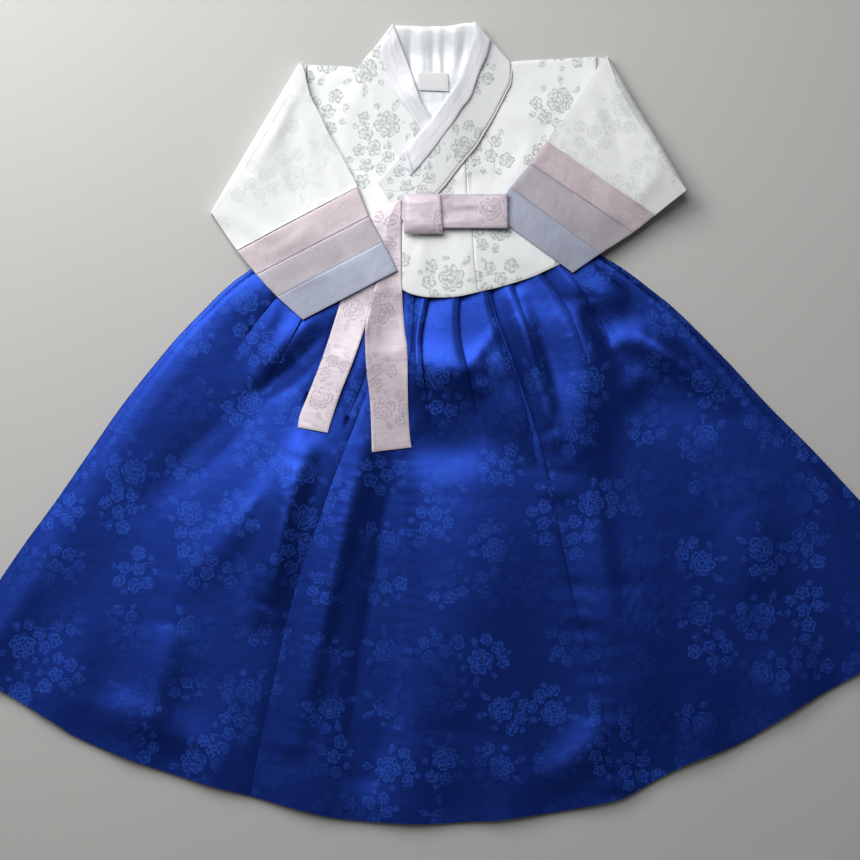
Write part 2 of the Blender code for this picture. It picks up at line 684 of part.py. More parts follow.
def make_neck(pile):
    """The lining that shows in the neck opening, and its label."""
    across = np.linspace(0.0, 1.0, 16)
    down = np.linspace(0.0, 1.0, 10)
    bottom = Line([LINING_LEFT[-1], LINING_RIGHT[-1]], straight=True)
    plan = patch(Line(LINING_LEFT), Line(LINING_RIGHT), Line(LINING_TOP), bottom, across, down)
    wave = np.cos(across * LINING_FOLDS * 2 * math.pi)[None, :] * (1 - down[:, None]) ** 0.7
    rise = NECK_RISE * (1 - smooth(down / 0.35))[:, None]
    extra = LINING_FOLD_HEIGHT * (1 + wave) + rise
    lay(pile, "back_lining", plan, LINING_WALL, "neck_lining", extra=extra)
    top_left, top_right, low_left, low_right = LABEL_CORNERS
    plan = patch(
        Line([top_left, low_left], straight=True), Line([top_right, low_right], straight=True),
        Line([top_left, top_right], straight=True), Line([low_left, low_right], straight=True),
        np.linspace(0.0, 1.0, 6), np.linspace(0.0, 1.0, 4),
    )
    lay(pile, "neck_label", plan, LABEL_WALL, "label_tape", rounds=2)


def make_fronts_inner(pile):
    """The wearer's right front with its overlap panel, its collar and its strip."""
    across = np.array((0.0, 0.1, 0.22, 0.34, 0.46, 0.58, 0.7, 0.82, 0.92, 1.0))
    down = np.linspace(0.0, 1.0, 14)
    hem = Line([point for point in FRONT_HEM if point[0] < -25] + [(-20, 206)])
    left = Line([ARMHOLE_LEFT[0], ARMHOLE_LEFT[1], ARMHOLE_LEFT[2], FRONT_HEM[0]])
    body = patch(left, Line(INNER_EDGE), Line(INNER_TOP), hem, across, down)
    flap_edge = Line([(-84, 541), (-40, 482), (0, 424), (66, 345), (68, 208)])
    flap = patch(
        Line(INNER_EDGE), flap_edge,
        Line([(-84, 541), (-84, 541.5)], straight=True), Line([(-20, 206), (24, 203), (68, 208)]),
        np.array((0.0, 0.35, 0.7, 1.0)), down,
    )
    first = 7
    body_height = draped(pile.rest(body) + LAYER_GAP, 4)
    flap_height = draped(pile.rest(flap) + LAYER_GAP, 4)
    body_inner = with_height(body, body_height)
    body_outer = outer_side(body_inner, JACKET_WALL)
    flap_inner = with_height(flap, flap_height)[first:]
    flap_outer = outer_side(flap_inner, JACKET_WALL)
    for side in (flap_inner, flap_outer):
        side[:, 0, 0] += SEAM_GAP + 0.4
    pile.cover(body_outer)
    pile.cover(flap_outer)
    sew("jacket_front_right", body_inner, body_outer, "jacket_brocade")
    sew("overlap_panel_inner", flap_inner, flap_outer, "jacket_brocade")
    rows = np.linspace(0.0, 1.0, 14)
    inside, outside = Line(COLLAR_INNER_INSIDE), Line(COLLAR_INNER_OUTSIDE)
    collar = ruled(inside.at(rows), outside.at(rows), (1.0, 0.72, 0.44, 0.2, 0.0))
    lay(pile, "collar_inner", collar, COLLAR_WALL, "jacket_brocade")
    make_strip(pile, "inner", inside, STRIP_INNER_OUTSIDE, STRIP_INNER_LENGTH, -1)


def ruled(first, second, shares):
    """Plan points on straight runs between two rows of points."""
    s = np.array(shares)[None, :, None]
    return first[:, None] * (1 - s) + second[:, None] * s


def make_strip(pile, name, inside, outside_points, length, side):
    """The smooth strip that lies on a collar band along its neck edge."""
    rows = np.linspace(0.0, 1.0, 13)
    edge = inside.at(rows * length)
    edge[:, 0] -= side * -STRIP_OVERLAP
    shares = (0.0, 0.5, 1.0) if side > 0 else (1.0, 0.5, 0.0)
    plan = ruled(edge, Line(outside_points).at(rows), shares)
    lay(pile, f"collar_strip_{name}", plan, STRIP_WALL, "collar_strip", rounds=2)


def make_fronts_outer(pile):
    """The wearer's left front with its overlap panel, its collar, edging and strip."""
    down = np.linspace(0.0, 1.0, 13)
    seam = Line(OVERLAP_SEAM)
    hem_left = Line([point for point in FRONT_HEM if -43 < point[0] < 72] + [(72, 206)])
    hem_right = Line([(72, 206)] + [point for point in FRONT_HEM if point[0] > 76])
    overlap = patch(
        Line(OVERLAP_EDGE, straight=True), seam, Line(NECK_TO_OVERLAP, straight=True), hem_left,
        np.linspace(0.0, 1.0, 6), down,
    )
    right = Line([ARMHOLE_RIGHT[0], ARMHOLE_RIGHT[1], ARMHOLE_RIGHT[2], FRONT_HEM[-1]])
    body = patch(seam, right, Line(OUTER_TOP), hem_right, np.linspace(0.0, 1.0, 10), down)
    plan = np.concatenate([overlap, body[:, 1:]], axis=1)
    height = draped(pile.rest(plan) + LAYER_GAP, 6)
    inner = with_height(plan, height)
    outer = outer_side(inner, JACKET_WALL)
    pile.cover(outer)
    panel, front = split(inner, outer, overlap.shape[1] - 1)
    sew("overlap_panel_outer", *panel, "jacket_brocade")
    sew("jacket_front_left", *front, "jacket_brocade")

    rows = np.linspace(0.0, 1.0, 17)
    inside, outside = Line(COLLAR_OUTER_INSIDE), Line(COLLAR_OUTER_OUTSIDE)
    start, end = inside.at(rows), outside.at(rows)
    beyond = end + (end - start) / np.linalg.norm(end - start, axis=-1, keepdims=True) * COLLAR_PIPING_WIDTH
    plan = ruled(start, end, (0.0, 0.2, 0.44, 0.72, 1.0))
    plan = np.concatenate([plan, beyond[:, None]], axis=1)
    inner = with_height(plan, draped(pile.rest(plan) + LAYER_GAP, 4))
    outer = outer_side(inner, COLLAR_WALL)
    pile.cover(outer)
    band, piping = split(inner, outer, 4)
    piping_rows = slice(1, -1)
    piping = [side[piping_rows] for side in piping]
    piping[1][..., 2] -= 0.5
    sew("collar_outer", *band, "jacket_brocade")
    sew("collar_piping", *piping, "collar_edging")
    make_strip(pile, "outer", inside, STRIP_OUTER_OUTSIDE, STRIP_OUTER_LENGTH, 1)


# Sleeves


def sleeve_rows(sleeve):
    """Edge points of a sleeve's flap from crease to cuff, with the rows at which its bands begin."""
    top, under = Line(sleeve.top_edge), Line(sleeve.under_edge)
    top_marks = [0.0, *(top.share_near(mark) for mark in sleeve.top_marks), 1.0]
    under_marks = [0.0, *(under.share_near(mark) for mark in sleeve.under_marks), 1.0]
    steps = (7, 2, 2, 2)
    top_shares, under_shares, marks = [0.0], [0.0], [0]
    for count, a, b, c, d in zip(steps, top_marks, top_marks[1:], under_marks, under_marks[1:]):
        for step in range(1, count + 1):
            top_shares.append(a + (b - a) * step / count)
            under_shares.append(c + (d - c) * step / count)
        marks.append(marks[-1] + count)
    return top.at(top_shares), under.at(under_shares), marks


def make_sleeve(pile, sleeve):
    """A sleeve folded at its crease: hidden lower layer, the white flap over it, and three cuff bands."""
    across = np.array(SLEEVE_ACROSS)
    top, under, marks = sleeve_rows(sleeve)
    plan = ruled(top, under, across)
    crease_top, crease_low = (np.array(point, dtype=float) for point in sleeve.crease)
    way = (crease_low - crease_top) / np.linalg.norm(crease_low - crease_top)
    outward = np.array((way[1], -way[0])) if sleeve.side == "left" else np.array((-way[1], way[0]))
    radius = 0.8 + sleeve.puff * np.sin(math.pi * across ** 0.8) ** 0.7
    wall = SLEEVE_WALL * (0.7 + 0.3 * np.sin(math.pi * np.clip(across, 0.02, 0.98)) ** 0.4)
    crease = crease_top + across[:, None] * (crease_low - crease_top)
    centre = crease - outward * (radius + wall)[:, None]

    height = draped(pile.rest(plan) + LAYER_GAP, 8)
    near_crease = wall + 2 * radius
    from_crease = np.linalg.norm(plan - crease[None], axis=-1)
    fall = 1 - smooth(from_crease / 120.0)
    height = np.maximum(height, SLEEVE_WALL + LAYER_GAP + (near_crease - SLEEVE_WALL - LAYER_GAP) * fall)
    height[0] = near_crease

    armhole_top, armhole_low = (np.array(point, dtype=float) for point in sleeve.armhole)
    armhole = armhole_top + across[:, None] * (armhole_low - armhole_top)
    columns = []
    for share in (0.0, 0.35, 0.7):
        columns.append(with_height((armhole + (centre - armhole) * share)[:, None], wall[:, None])[:, 0])
    for turn in np.radians((-90, -50, -15, 15, 50, 90)):
        points = centre + outward * (radius * math.cos(turn))[:, None]
        lift = wall + radius * (1 + math.sin(turn))
        columns.append(with_height(points[:, None], lift[:, None])[:, 0])
    for row in range(1, marks[1] + 1):
        columns.append(with_height(plan[row][:, None], height[row][:, None])[:, 0])
    inner = np.stack(columns, axis=1)
    outer = outer_side(inner, wall[:, None])
    outer[:, :4, 2] = 0.0
    outer[..., 2] = np.maximum(outer[..., 2], 0.0)
    toward = (plan[marks[1]] - plan[marks[1] - 1])
    toward /= np.linalg.norm(toward, axis=-1, keepdims=True)
    for side in (inner, outer):
        side[:, -1, :2] -= toward * SEAM_GAP / 2
    sew(f"sleeve_{sleeve.side}", inner, outer, "jacket_brocade")
    pile.cover(outer[:, 5:])
    for index, colour in enumerate(CUFF_NAMES):
        rows = slice(marks[index + 1], marks[index + 2] + 1)
        make_cuff(pile, f"cuff_{colour}_{sleeve.side}", plan[rows], height[rows], f"cuff_{colour}")


def make_cuff(pile, name, plan, height, finish_name):
    """One cuff band: cloth folded at the sleeve's upper edge and joined along its under edge."""
    plan = plan.copy()
    toward = plan[-1] - plan[0]
    toward /= np.linalg.norm(toward, axis=-1, keepdims=True)
    plan[0] += toward * SEAM_GAP / 2
    plan[-1] -= toward * SEAM_GAP / 2
    across = np.array(SLEEVE_ACROSS)
    edge_way = plan[:, 0] - plan[:, 1]
    edge_way /= np.linalg.norm(edge_way, axis=-1, keepdims=True)
    radius = CUFF_HOLLOW / 2
    hollow = CUFF_HOLLOW * (1 - smooth((across - 0.6) / 0.4)) + SEAM_GAP
    columns = []
    for column in range(len(across) - 1, 1, -1):
        columns.append(with_height(plan[:, column][:, None], (height[:, column] + CUFF_WALL)[:, None])[:, 0])
    start = plan[:, 0] - edge_way * (radius + CUFF_WALL)
    base = height[:, 0:1].max(axis=1) + CUFF_WALL
    for turn in np.radians((-90, -30, 30, 90)):
        points = start + edge_way * radius * math.cos(turn)
        lift = base + radius * (1 + math.sin(turn))
        columns.append(with_height(points[:, None], lift[:, None])[:, 0])
    for column in range(2, len(across)):
        lift = height[:, column] + CUFF_WALL + hollow[column]
        columns.append(with_height(plan[:, column][:, None], lift[:, None])[:, 0])
    inner = np.stack(columns, axis=1)
    outer = outer_side(inner, CUFF_WALL)
    pile.cover(outer)
    sew(name, inner, outer, finish_name)


# Ribbon tie


def make_tails(pile):
    """The two hanging ends of the ribbon, the long one over the short one."""
    rows = np.linspace(0.0, 1.0, 17)
    short = ruled(Line(TAIL_SHORT_LEFT).at(rows), Line(TAIL_SHORT_RIGHT).at(rows), (0.0, 0.3, 0.65, 1.0))
    lay(pile, "ribbon_tail_short", short, RIBBON_WALL, "ribbon_satin", rounds=6)
    rows = np.linspace(0.0, 1.0, 19)
    long = ruled(Line(TAIL_LONG_LEFT).at(rows), Line(TAIL_LONG_RIGHT).at(rows), (0.0, 0.35, 0.7, 1.0))
    lay(pile, "ribbon_tail_long", long, RIBBON_WALL, "ribbon_satin", rounds=6)


def make_bow(pile):
    """The ribbon's loop, folded at its right end, and the knot that it passes through."""
    across = np.array((0.0, 0.14, 0.27, 0.4, 0.55, 0.7, 0.85, 1.0))
    down = np.array((0.0, 0.12, 0.37, 0.63, 0.88, 1.0))
    turn_x = LOOP_RIGHT - LOOP_FOLD_RADIUS - RIBBON_WALL
    x = LOOP_LEFT + (turn_x - LOOP_LEFT) * across
    y = LOOP_TOP + (LOOP_BOTTOM - LOOP_TOP) * down
    plan = np.stack(np.meshgrid(x, y), axis=-1)
    height = draped(pile.rest(plan) + LAYER_GAP, 8) + RIBBON_WALL
    columns = [with_height(plan[:, [j]], height[:, [j]])[:, 0] for j in range(len(x))]
    for turn in np.radians((-45, 0, 45)):
        points = plan[:, -1] + np.array((LOOP_FOLD_RADIUS * math.cos(turn), 0.0))
        lift = height[:, -1] + LOOP_FOLD_RADIUS * (1 + math.sin(turn))
        columns.append(with_height(points[:, None], lift[:, None])[:, 0])
    for j in range(len(x) - 1, -1, -1):
        crown = 1.2 * math.sin(math.pi * across[j]) + 2 * LOOP_FOLD_RADIUS
        columns.append(with_height(plan[:, [j]], height[:, [j]] + crown)[:, 0])
    inner = np.stack(columns, axis=1)
    outer = outer_side(inner, RIBBON_WALL)
    pile.cover(outer)
    sew("ribbon_loop", inner, outer, "ribbon_satin")

    down = np.linspace(0.0, 1.0, 9)
    across = np.linspace(0.0, 1.0, 5)
    x = KNOT_LEFT + (KNOT_RIGHT - KNOT_LEFT) * across[None, :] + KNOT_SLANT * (down[:, None] - 0.5)
    y = np.broadcast_to((KNOT_TOP + (KNOT_BOTTOM - KNOT_TOP) * down)[:, None], x.shape)
    plan = np.stack([x, y], axis=-1)
    arch = KNOT_CROWN * np.sin(math.pi * down) ** 0.5
    lay(pile, "ribbon_knot", plan, RIBBON_WALL, "ribbon_satin", rounds=10, extra=arch[:, None])


def centre_on_table():
    """Moves every piece so that the whole garment is centred over the origin and stands on the table."""
    pieces = [piece for piece in bpy.context.scene.objects if piece.type == "MESH"]
    points = np.concatenate([[vertex.co[:] for vertex in piece.data.vertices] for piece in pieces])
    low, high = points.min(axis=0), points.max(axis=0)
    shift = (-(low[0] + high[0]) / 2, -(low[1] + high[1]) / 2, -low[2])
    for piece in pieces:
        for vertex in piece.data.vertices:
            vertex.co.x += shift[0]
            vertex.co.y += shift[1]
            vertex.co.z += shift[2]


def main():
    for item in list(bpy.data.objects):
        bpy.data.objects.remove(item, do_unlink=True)
    pile = Pile()
    make_skirt(pile)
    make_jacket_back(pile)
    make_neck(pile)
    make_fronts_inner(pile)
    make_fronts_outer(pile)
    make_tails(pile)
    for sleeve in SLEEVES:
        make_sleeve(pile, sleeve)
    make_bow(pile)
    centre_on_table()


main()
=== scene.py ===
"""Looks of a girl's hanbok laid flat: satin skirt, brocade jacket with banded cuffs, and its ribbon tie.

Plan positions in the tables are millimetres, x to the right and y towards the neck, from a point in the
middle of the skirt front. Each piece of cloth is a thin wall on the form of the solid that it replaces, and
the pieces are laid one after another on a pile, from the table up.
"""
import json
import math
from collections import namedtuple

import bmesh
import bpy
import numpy as np
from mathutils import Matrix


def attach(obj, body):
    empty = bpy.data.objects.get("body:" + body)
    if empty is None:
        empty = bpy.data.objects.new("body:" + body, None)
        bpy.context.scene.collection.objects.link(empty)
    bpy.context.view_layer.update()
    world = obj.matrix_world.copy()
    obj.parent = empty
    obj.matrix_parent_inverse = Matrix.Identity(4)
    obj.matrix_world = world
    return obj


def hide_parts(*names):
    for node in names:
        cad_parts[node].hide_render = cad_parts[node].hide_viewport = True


MM = 0.001

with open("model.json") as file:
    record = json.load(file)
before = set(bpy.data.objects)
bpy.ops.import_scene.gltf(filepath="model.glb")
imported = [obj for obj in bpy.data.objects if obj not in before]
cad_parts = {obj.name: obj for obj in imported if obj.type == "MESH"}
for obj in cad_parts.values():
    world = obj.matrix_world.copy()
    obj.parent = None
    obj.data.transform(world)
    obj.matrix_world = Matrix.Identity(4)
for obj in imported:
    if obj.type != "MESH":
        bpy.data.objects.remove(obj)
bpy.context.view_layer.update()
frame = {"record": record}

# From the tables' zero to the middle of the garment's outline, in millimetres
TO_MIDDLE = np.array((-25.556, -11.083, 0.0))

# Cloth walls and clearances, in millimetres
SKIRT_WALL = 1.2
JACKET_WALL = 1.5
LINING_WALL = 1.0
COLLAR_WALL = 2.0
STRIP_WALL = 1.2
RIBBON_WALL = 1.3
CUFF_WALL = 1.3
SLEEVE_WALL = 4.6
LABEL_WALL = 0.7
BAND_WALL = 6.5
SEAM_GAP = 0.25
SEAM_DIP = 0.9
SEAM_DIP_SPREAD = 1.2
LAYER_GAP = 0.3
DEEPEST_CREASE = -0.2
DEEPEST_JACKET_CREASE = -0.3

# How a wall thins towards its borders: over how many millimetres, and to what share of its thickness
SEAM_ROUNDING = (3.0, 0.45)
COLLAR_ROUNDING = (1.6, 0.7)
BAND_ROUNDING = (1.2, 0.8)
SLEEVE_ROUNDING = (3.0, 0.97)
WAISTBAND_ROUNDING = (8.0, 0.7)

# Shares near an edge at which a piece gets one more row or column, where its cloth rounds off
WIDE_ENDS = (0.006, 0.02)
NARROW_ENDS = (0.02, 0.06)

# Columns along a skirt seam that keep their outer side when a side width gets its back
SEAM_COLUMNS = 3

# Skirt heights, in millimetres, with the shares of the length or of a width over which they change
SIDE_FOLD_RADIUS = 2.2
FRONT_CLEARANCE = 4.2
SIDE_RISE = 0.15
SIDE_INSET = 0.004
FRONT_PUFF = 9.0
BASE_PUFF = 3.0
PUFF_RISE = 0.2
PUFF_LOST, PUFF_FALL_FROM, PUFF_FALL = 0.93, 0.25, 0.7
LEFT_FLAT = 200.0
LEFT_ROUNDING = 120.0
RIGHT_FLAT = 60.0
RIGHT_ROUNDING = 110.0
LEFT_ROLL, LEFT_ROLL_RISE, LEFT_ROLL_FALL = 5.5, 8.0, 105.0
RIGHT_ROLL, RIGHT_ROLL_RISE, RIGHT_ROLL_FALL = 3.5, 6.0, 150.0
ROLL_FROM_WAIST = 0.1
FOLD_CLEAR = 34.0
FOLDS_FROM_WAIST, FOLDS_FROM_HEM = 0.12, 0.1
PUCKERS = (0.12, 0.75)
PUCKER_REACH = 24.0
PUCKER_LENGTH = 46.0
PUCKERS_FROM, PUCKERS_RISE = 0.3, 0.3
HEM_WAVE = 2.2
HEM_WAVES = 11
HEM_WAVE_FROM = 0.7
BACK_WRAP = 60.0
BACK_TURN = 0.30
BACK_TURN_SHARES = (1.0, 0.66, 0.33, 0.1)
BACK_HEM_SHORTER = 0.997
BACK_STEP, BACK_SLOPE = 6.0, 26.0
BAND_LIFTS = (45.0, 42.0, 34.0, 12.0, 4.0, 2 * SEAM_GAP)

# Outline of the skirt
WAIST_LEFT = (-192, 291)
WAIST_SEAM_LEFT = (-63, 289)
WAIST_SEAM_RIGHT = (90, 291)
WAIST_RIGHT = (213, 297)
SIDE_LEFT = [
    WAIST_LEFT, (-231, 267), (-270, 241), (-306, 214), (-346, 174), (-386, 132), (-459, 42),
    (-510, -31), (-561, -105), (-610, -172), (-645, -223), (-681, -274), (-702, -312), (-708, -337),
]
SIDE_RIGHT = [
    WAIST_RIGHT, (240, 276), (263, 259), (294, 240), (333, 210), (372, 178), (445, 105), (508, 37),
    (576, -31), (645, -105), (696, -160), (732, -204), (753, -243), (759, -273),
]
SEAM_LEFT = [
    WAIST_SEAM_LEFT, (-68, 195), (-78, 135), (-90, 75), (-104, 31), (-148, -82), (-165, -132),
    (-188, -195), (-213, -279), (-238, -391), (-257, -480), (-270, -549),
]
SEAM_RIGHT = [
    WAIST_SEAM_RIGHT, (92, 195), (122, 100), (156, -3), (178, -75), (201, -183), (224, -285),
    (251, -375), (270, -480), (282, -555),
]
HEM_LEFT = [
    (-708, -337), (-697, -362), (-645, -390), (-570, -435), (-528, -462), (-440, -498), (-345, -529),
    (-270, -549),
]
HEM_CENTRE = [
    (-270, -549), (-195, -570), (-136, -583), (-67, -589), (0, -591), (67, -587), (105, -585),
    (208, -570), (282, -555),
]
HEM_RIGHT = [
    (282, -555), (300, -547), (378, -505), (463, -471), (519, -438), (576, -403), (645, -364),
    (717, -322), (750, -300), (759, -273),
]

# Knife pleats, from left to right. place counts widths of cloth across the front, so 1 and 2 are its seams;
# depth is how high the folded edge stands, reach the share of the length it runs down, lean its drift in x.
Pleat = namedtuple("Pleat", "place depth reach lean")
PLEATS = [
    Pleat(0.28, 5.5, 0.12, 0),
    Pleat(0.50, 7.0, 0.18, 0),
    Pleat(0.72, 7.5, 0.20, 0),
    Pleat(0.95, 9.0, 0.22, 0),
    Pleat(1.25, 7.5, 0.13, 0),
    Pleat(1.50, 9.5, 0.20, -34),
    Pleat(1.755, 9.5, 0.19, -22),
    Pleat(1.95, 11.0, 0.29, 6),
    Pleat(2.17, 9.0, 0.15, 0),
    Pleat(2.34, 9.0, 0.15, 28),
    Pleat(2.57, 7.5, 0.10, 14),
    Pleat(2.88, 5.0, 0.04, 0),
]
PLEAT_RISE = [(0.0, 0.0), (0.35, 0.50), (0.84, 0.98), (1.0, 0.86)]
PLEAT_STEPS = 16
SEAM_CLEAR = 0.01
LIP_OVERHANG = 2.5
BASE_UNDERCUT = 1.5
FADED_SPACING = 0.6
PLEAT_FADE = 0.13
LEAN_FADE = 0.25
PLEAT_CLOTH_SHIFT = 9.0

# Folds and creases: a crest through three points, its half width and its height (below 0 for a trough)
Fold = namedtuple("Fold", "start middle end half_width height")
SKIRT_FOLDS = [
    Fold((-243, 217), (-237, 177), (-252, 127), 12, 2.5),
    Fold((-166, 181), (-211, 135), (-256, 83), 16, 7.0),
    Fold((-143, 151), (-198, 89), (-258, 49), 15, -6.0),
    Fold((-178, 12), (-262, -118), (-375, -237), 52, 3.4),
    Fold((-232, 66), (-310, -8), (-425, -112), 34, -4.0),
    Fold((-150, 0), (-252, -112), (-375, -237), 26, 3.5),
    Fold((-178, 18), (-238, -78), (-300, -148), 9, 1.6),
    Fold((-190, -38), (-219, -140), (-246, -270), 22, 14.0),
    Fold((-96, -30), (-138, -185), (-202, -470), 18, 8.0),
    Fold((-52, 20), (-60, -235), (-98, -520), 38, -14.0),
    Fold((-33, -4), (20, -26), (84, -18), 44, -8.5),
    Fold((-30, 98), (30, 88), (92, 96), 31, 11.5),
    Fold((98, 150), (72, 112), (50, 84), 9, 3.0),
    Fold((54, 64), (70, 60), (86, 66), 10, 2.6),
    Fold((60, -90), (57, -255), (37, -465), 80, 8.0),
    Fold((131, 194), (152, 108), (184, -8), 18, 12.0),
    Fold((226, 205), (232, 90), (214, -75), 44, 13.0),
    Fold((238, 192), (251, 160), (276, 120), 18, -9.0),
    Fold((240, -75), (255, -195), (273, -330), 24, 5.0),
    Fold((236, 196), (262, 203), (300, 206), 24, 5.5),
    Fold((276, 47), (302, 68), (327, 89), 20, 3.5),
    Fold((266, 136), (320, 130), (372, 96), 22, 7.0),
    Fold((322, 140), (378, 98), (448, 48), 18, 7.0),
    Fold((262, 60), (330, 42), (400, 10), 30, -4.0),
    Fold((292, -225), (307, -345), (330, -465), 55, 8.0),
    Fold((470, -110), (480, -170), (475, -260), 40, 4.0),
    Fold((165, -540), (217, -502), (255, -440), 30, 7.0),
    Fold((-510, -430), (-420, -448), (-330, -500), 34, 6.0),
    Fold((-390, -285), (-405, -365), (-420, -440), 30, 6.0),
]
JACKET_CREASES = [
    Fold((-128, 400), (-118, 398), (-108, 402), 4, -1.2),
    Fold((-100, 520), (-128, 470), (-120, 410), 14, 1.4),
    Fold((-60, 380), (-70, 330), (-66, 280), 10, 1.6),
    Fold((24, 290), (50, 262), (60, 220), 10, 1.6),
    Fold((-10, 285), (-14, 250), (-20, 225), 9, 1.4),
    Fold((84, 288), (120, 262), (150, 244), 12, 1.8),
    Fold((110, 370), (140, 400), (150, 440), 12, 1.6),
    Fold((100, 480), (150, 470), (200, 500), 16, 1.6),
    Fold((130, 530), (180, 520), (230, 535), 16, -1.6),
    Fold((40, 380), (76, 392), (108, 380), 10, 1.2),
]
SLEEVE_CREASES = [
    Fold((-205, 530), (-225, 470), (-250, 420), 14, 2.4),
    Fold((-190, 470), (-180, 420), (-168, 372), 12, 1.8),
    Fold((-275, 395), (-250, 345), (-222, 305), 16, 2.2),
    Fold((-215, 420), (-200, 360), (-180, 325), 10, -1.6),
    Fold((-300, 330), (-262, 300), (-225, 290), 12, 1.6),
    Fold((-150, 400), (-140, 370), (-132, 348), 8, 1.4),
    Fold((268, 540), (290, 480), (330, 420), 16, 2.4),
    Fold((240, 500), (250, 450), (262, 400), 14, 2.0),
    Fold((262, 500), (280, 440), (300, 380), 10, -1.6),
    Fold((200, 450), (222, 420), (240, 388), 9, 1.6),
    Fold((345, 400), (330, 370), (305, 340), 12, 1.8),
]
CUFF_CREASES = [
    Fold((-250, 262), (-215, 275), (-180, 300), 8, 1.2),
    Fold((-170, 300), (-150, 280), (-140, 250), 8, 1.2),
    Fold((-215, 205), (-180, 225), (-150, 232), 8, 1.0),
    Fold((-120, 270), (-110, 245), (-104, 225), 7, 1.0),
    Fold((190, 400), (215, 375), (240, 352), 8, 1.2),
    Fold((255, 330), (280, 320), (300, 318), 8, 1.0),
    Fold((150, 350), (180, 330), (215, 305), 8, 1.2),
    Fold((220, 280), (235, 270), (250, 268), 7, 1.0),
]
RIBBON_CREASES = [
    Fold((17, 338), (45, 335), (80, 338), 4, 0.9),
    Fold((17, 322), (50, 325), (95, 322), 5, -0.8),
    Fold((17, 308), (40, 310), (66, 309), 4, 0.9),
    Fold((-36, 340), (-20, 338), (12, 342), 4, 0.8),
    Fold((-34, 318), (-14, 322), (14, 318), 4, -0.8),
    Fold((-30, 302), (-10, 305), (10, 301), 4, 0.7),
    Fold((-80, 200), (-66, 185), (-50, 180), 8, 1.2),
    Fold((-92, 120), (-64, 112), (-36, 118), 10, 1.0),
    Fold((-88, 30), (-62, 20), (-34, 26), 12, 1.0),
    Fold((-150, 120), (-138, 108), (-120, 105), 9, 1.0),
    Fold((-180, 50), (-165, 44), (-146, 46), 9, 0.9),
    Fold((-90, 190), (-122, 80), (-150, -10), 42, 6.0),
]
LINING_FOLDS = [
    Fold((-28, 604), (-30, 575), (-26, 530), 6, -2.2),
    Fold((-14, 604), (-13, 570), (-12, 520), 6, 1.2),
    Fold((4, 602), (5, 570), (6, 530), 5, -1.6),
    Fold((14, 600), (15, 570), (18, 500), 5, 1.0),
    Fold((21, 600), (20, 560), (22, 520), 5, -1.4),
    Fold((40, 606), (38, 575), (34, 535), 7, 1.4),
    Fold((54, 600), (50, 572), (44, 545), 5, -1.0),
]

# Rows down the skirt, evenly spaced
SKIRT_ROWS = 150

# Jacket outline
ARMHOLE_LEFT = [(-184, 549), (-187, 460), (-188, 345)]
ARMHOLE_RIGHT = [(249, 561), (252, 460), (253, 350)]
FRONT_HEM = [
    (-188, 252), (-120, 228), (-60, 214), (-42, 210), (-30, 204), (-8, 199), (20, 198), (45, 200),
    (75, 207), (105, 214), (150, 228), (190, 246), (220, 259), (254, 272),
]
OVERLAP_EDGE = [(-42, 330), (-42, 210)]
OVERLAP_SEAM = [(33, 468), (52, 405), (56, 352), (63, 297), (67, 247), (72, 206)]
NECK_TO_OVERLAP = [(-42, 330), (33, 468)]
BACK_LEFT, BACK_RIGHT = [(-182, 545), (-187, 258)], [(248, 556), (253, 280)]
BACK_TOP = [(-182, 545), (0, 540), (248, 556)]
BACK_HEM = [(-187, 258), (-60, 218), (20, 204), (105, 220), (253, 280)]
BACK_COLLAR_LEFT = [(-56, 602), (-103, 552), (-98, 530)]
BACK_COLLAR_RIGHT = [(66, 606), (116, 558), (112, 536)]
BACK_COLLAR_TOP = [(-56, 602), (0, 600), (66, 606)]
BACK_COLLAR_LOW = [(-98, 530), (0, 524), (112, 536)]
OUTER_TOP = [(33, 468), (58, 505), (96, 540), (121, 553), (195, 558), (249, 561)]
INNER_TOP = [(-184, 549), (-142, 547), (-120, 546), (-108, 543), (-84, 541)]
INNER_EDGE = [(-84, 541), (-40, 480), (0, 420), (-8, 320), (-20, 206)]
INNER_FLAP_EDGE = [(-84, 541), (-40, 482), (0, 424), (66, 345), (68, 208)]
INNER_FLAP_CORNER = [(-84, 541), (-84, 541.5)]
INNER_FLAP_HEM = [(-20, 206), (24, 203), (68, 208)]
INNER_FLAP_GAP = 0.65

# Collar edges, from the neck down to the crossing and beyond
COLLAR_OUTER_INSIDE = [
    (66, 613), (65, 592), (57, 562), (49, 540), (37, 517), (25, 499), (12, 480), (0, 463), (-15, 447),
    (-30, 429), (-45, 412), (-60, 394), (-79, 373),
]
COLLAR_OUTER_OUTSIDE = [
    (121, 552), (120, 525), (112, 507), (102, 487), (90, 465), (79, 447), (67, 427), (52, 409),
    (37, 390), (22, 370), (6, 352), (-13, 330), (-36, 306),
]
COLLAR_INNER_INSIDE = [
    (-55, 609), (-45, 582), (-30, 543), (-15, 499), (-3, 477), (10, 455), (30, 429), (57, 397),
]
COLLAR_INNER_OUTSIDE = [
    (-108, 543), (-106, 528), (-94, 513), (-82, 484), (-67, 450), (-47, 411), (-22, 369), (3, 327),
]
COLLAR_PIPING_WIDTH = 4.5
COLLAR_PIPING_STEPS = 7
COLLAR_PIPING_EDGE = 0.15
COLLAR_PIPING_SHORTER = 0.06
STRIP_OUTER_OUTSIDE = [
    (90, 585), (85, 562), (75, 540), (67, 517), (60, 498), (48, 483), (37, 465), (22, 445), (7, 424),
    (-8, 405), (-18, 393), (-29, 381),
]
STRIP_OUTER_LENGTH = 0.795
STRIP_INNER_OUTSIDE = [
    (-70, 585), (-74, 566), (-67, 540), (-48, 499), (-33, 480), (-15, 452), (0, 430),
]
STRIP_INNER_LENGTH = 0.74
STRIP_OVERLAP = 0.8

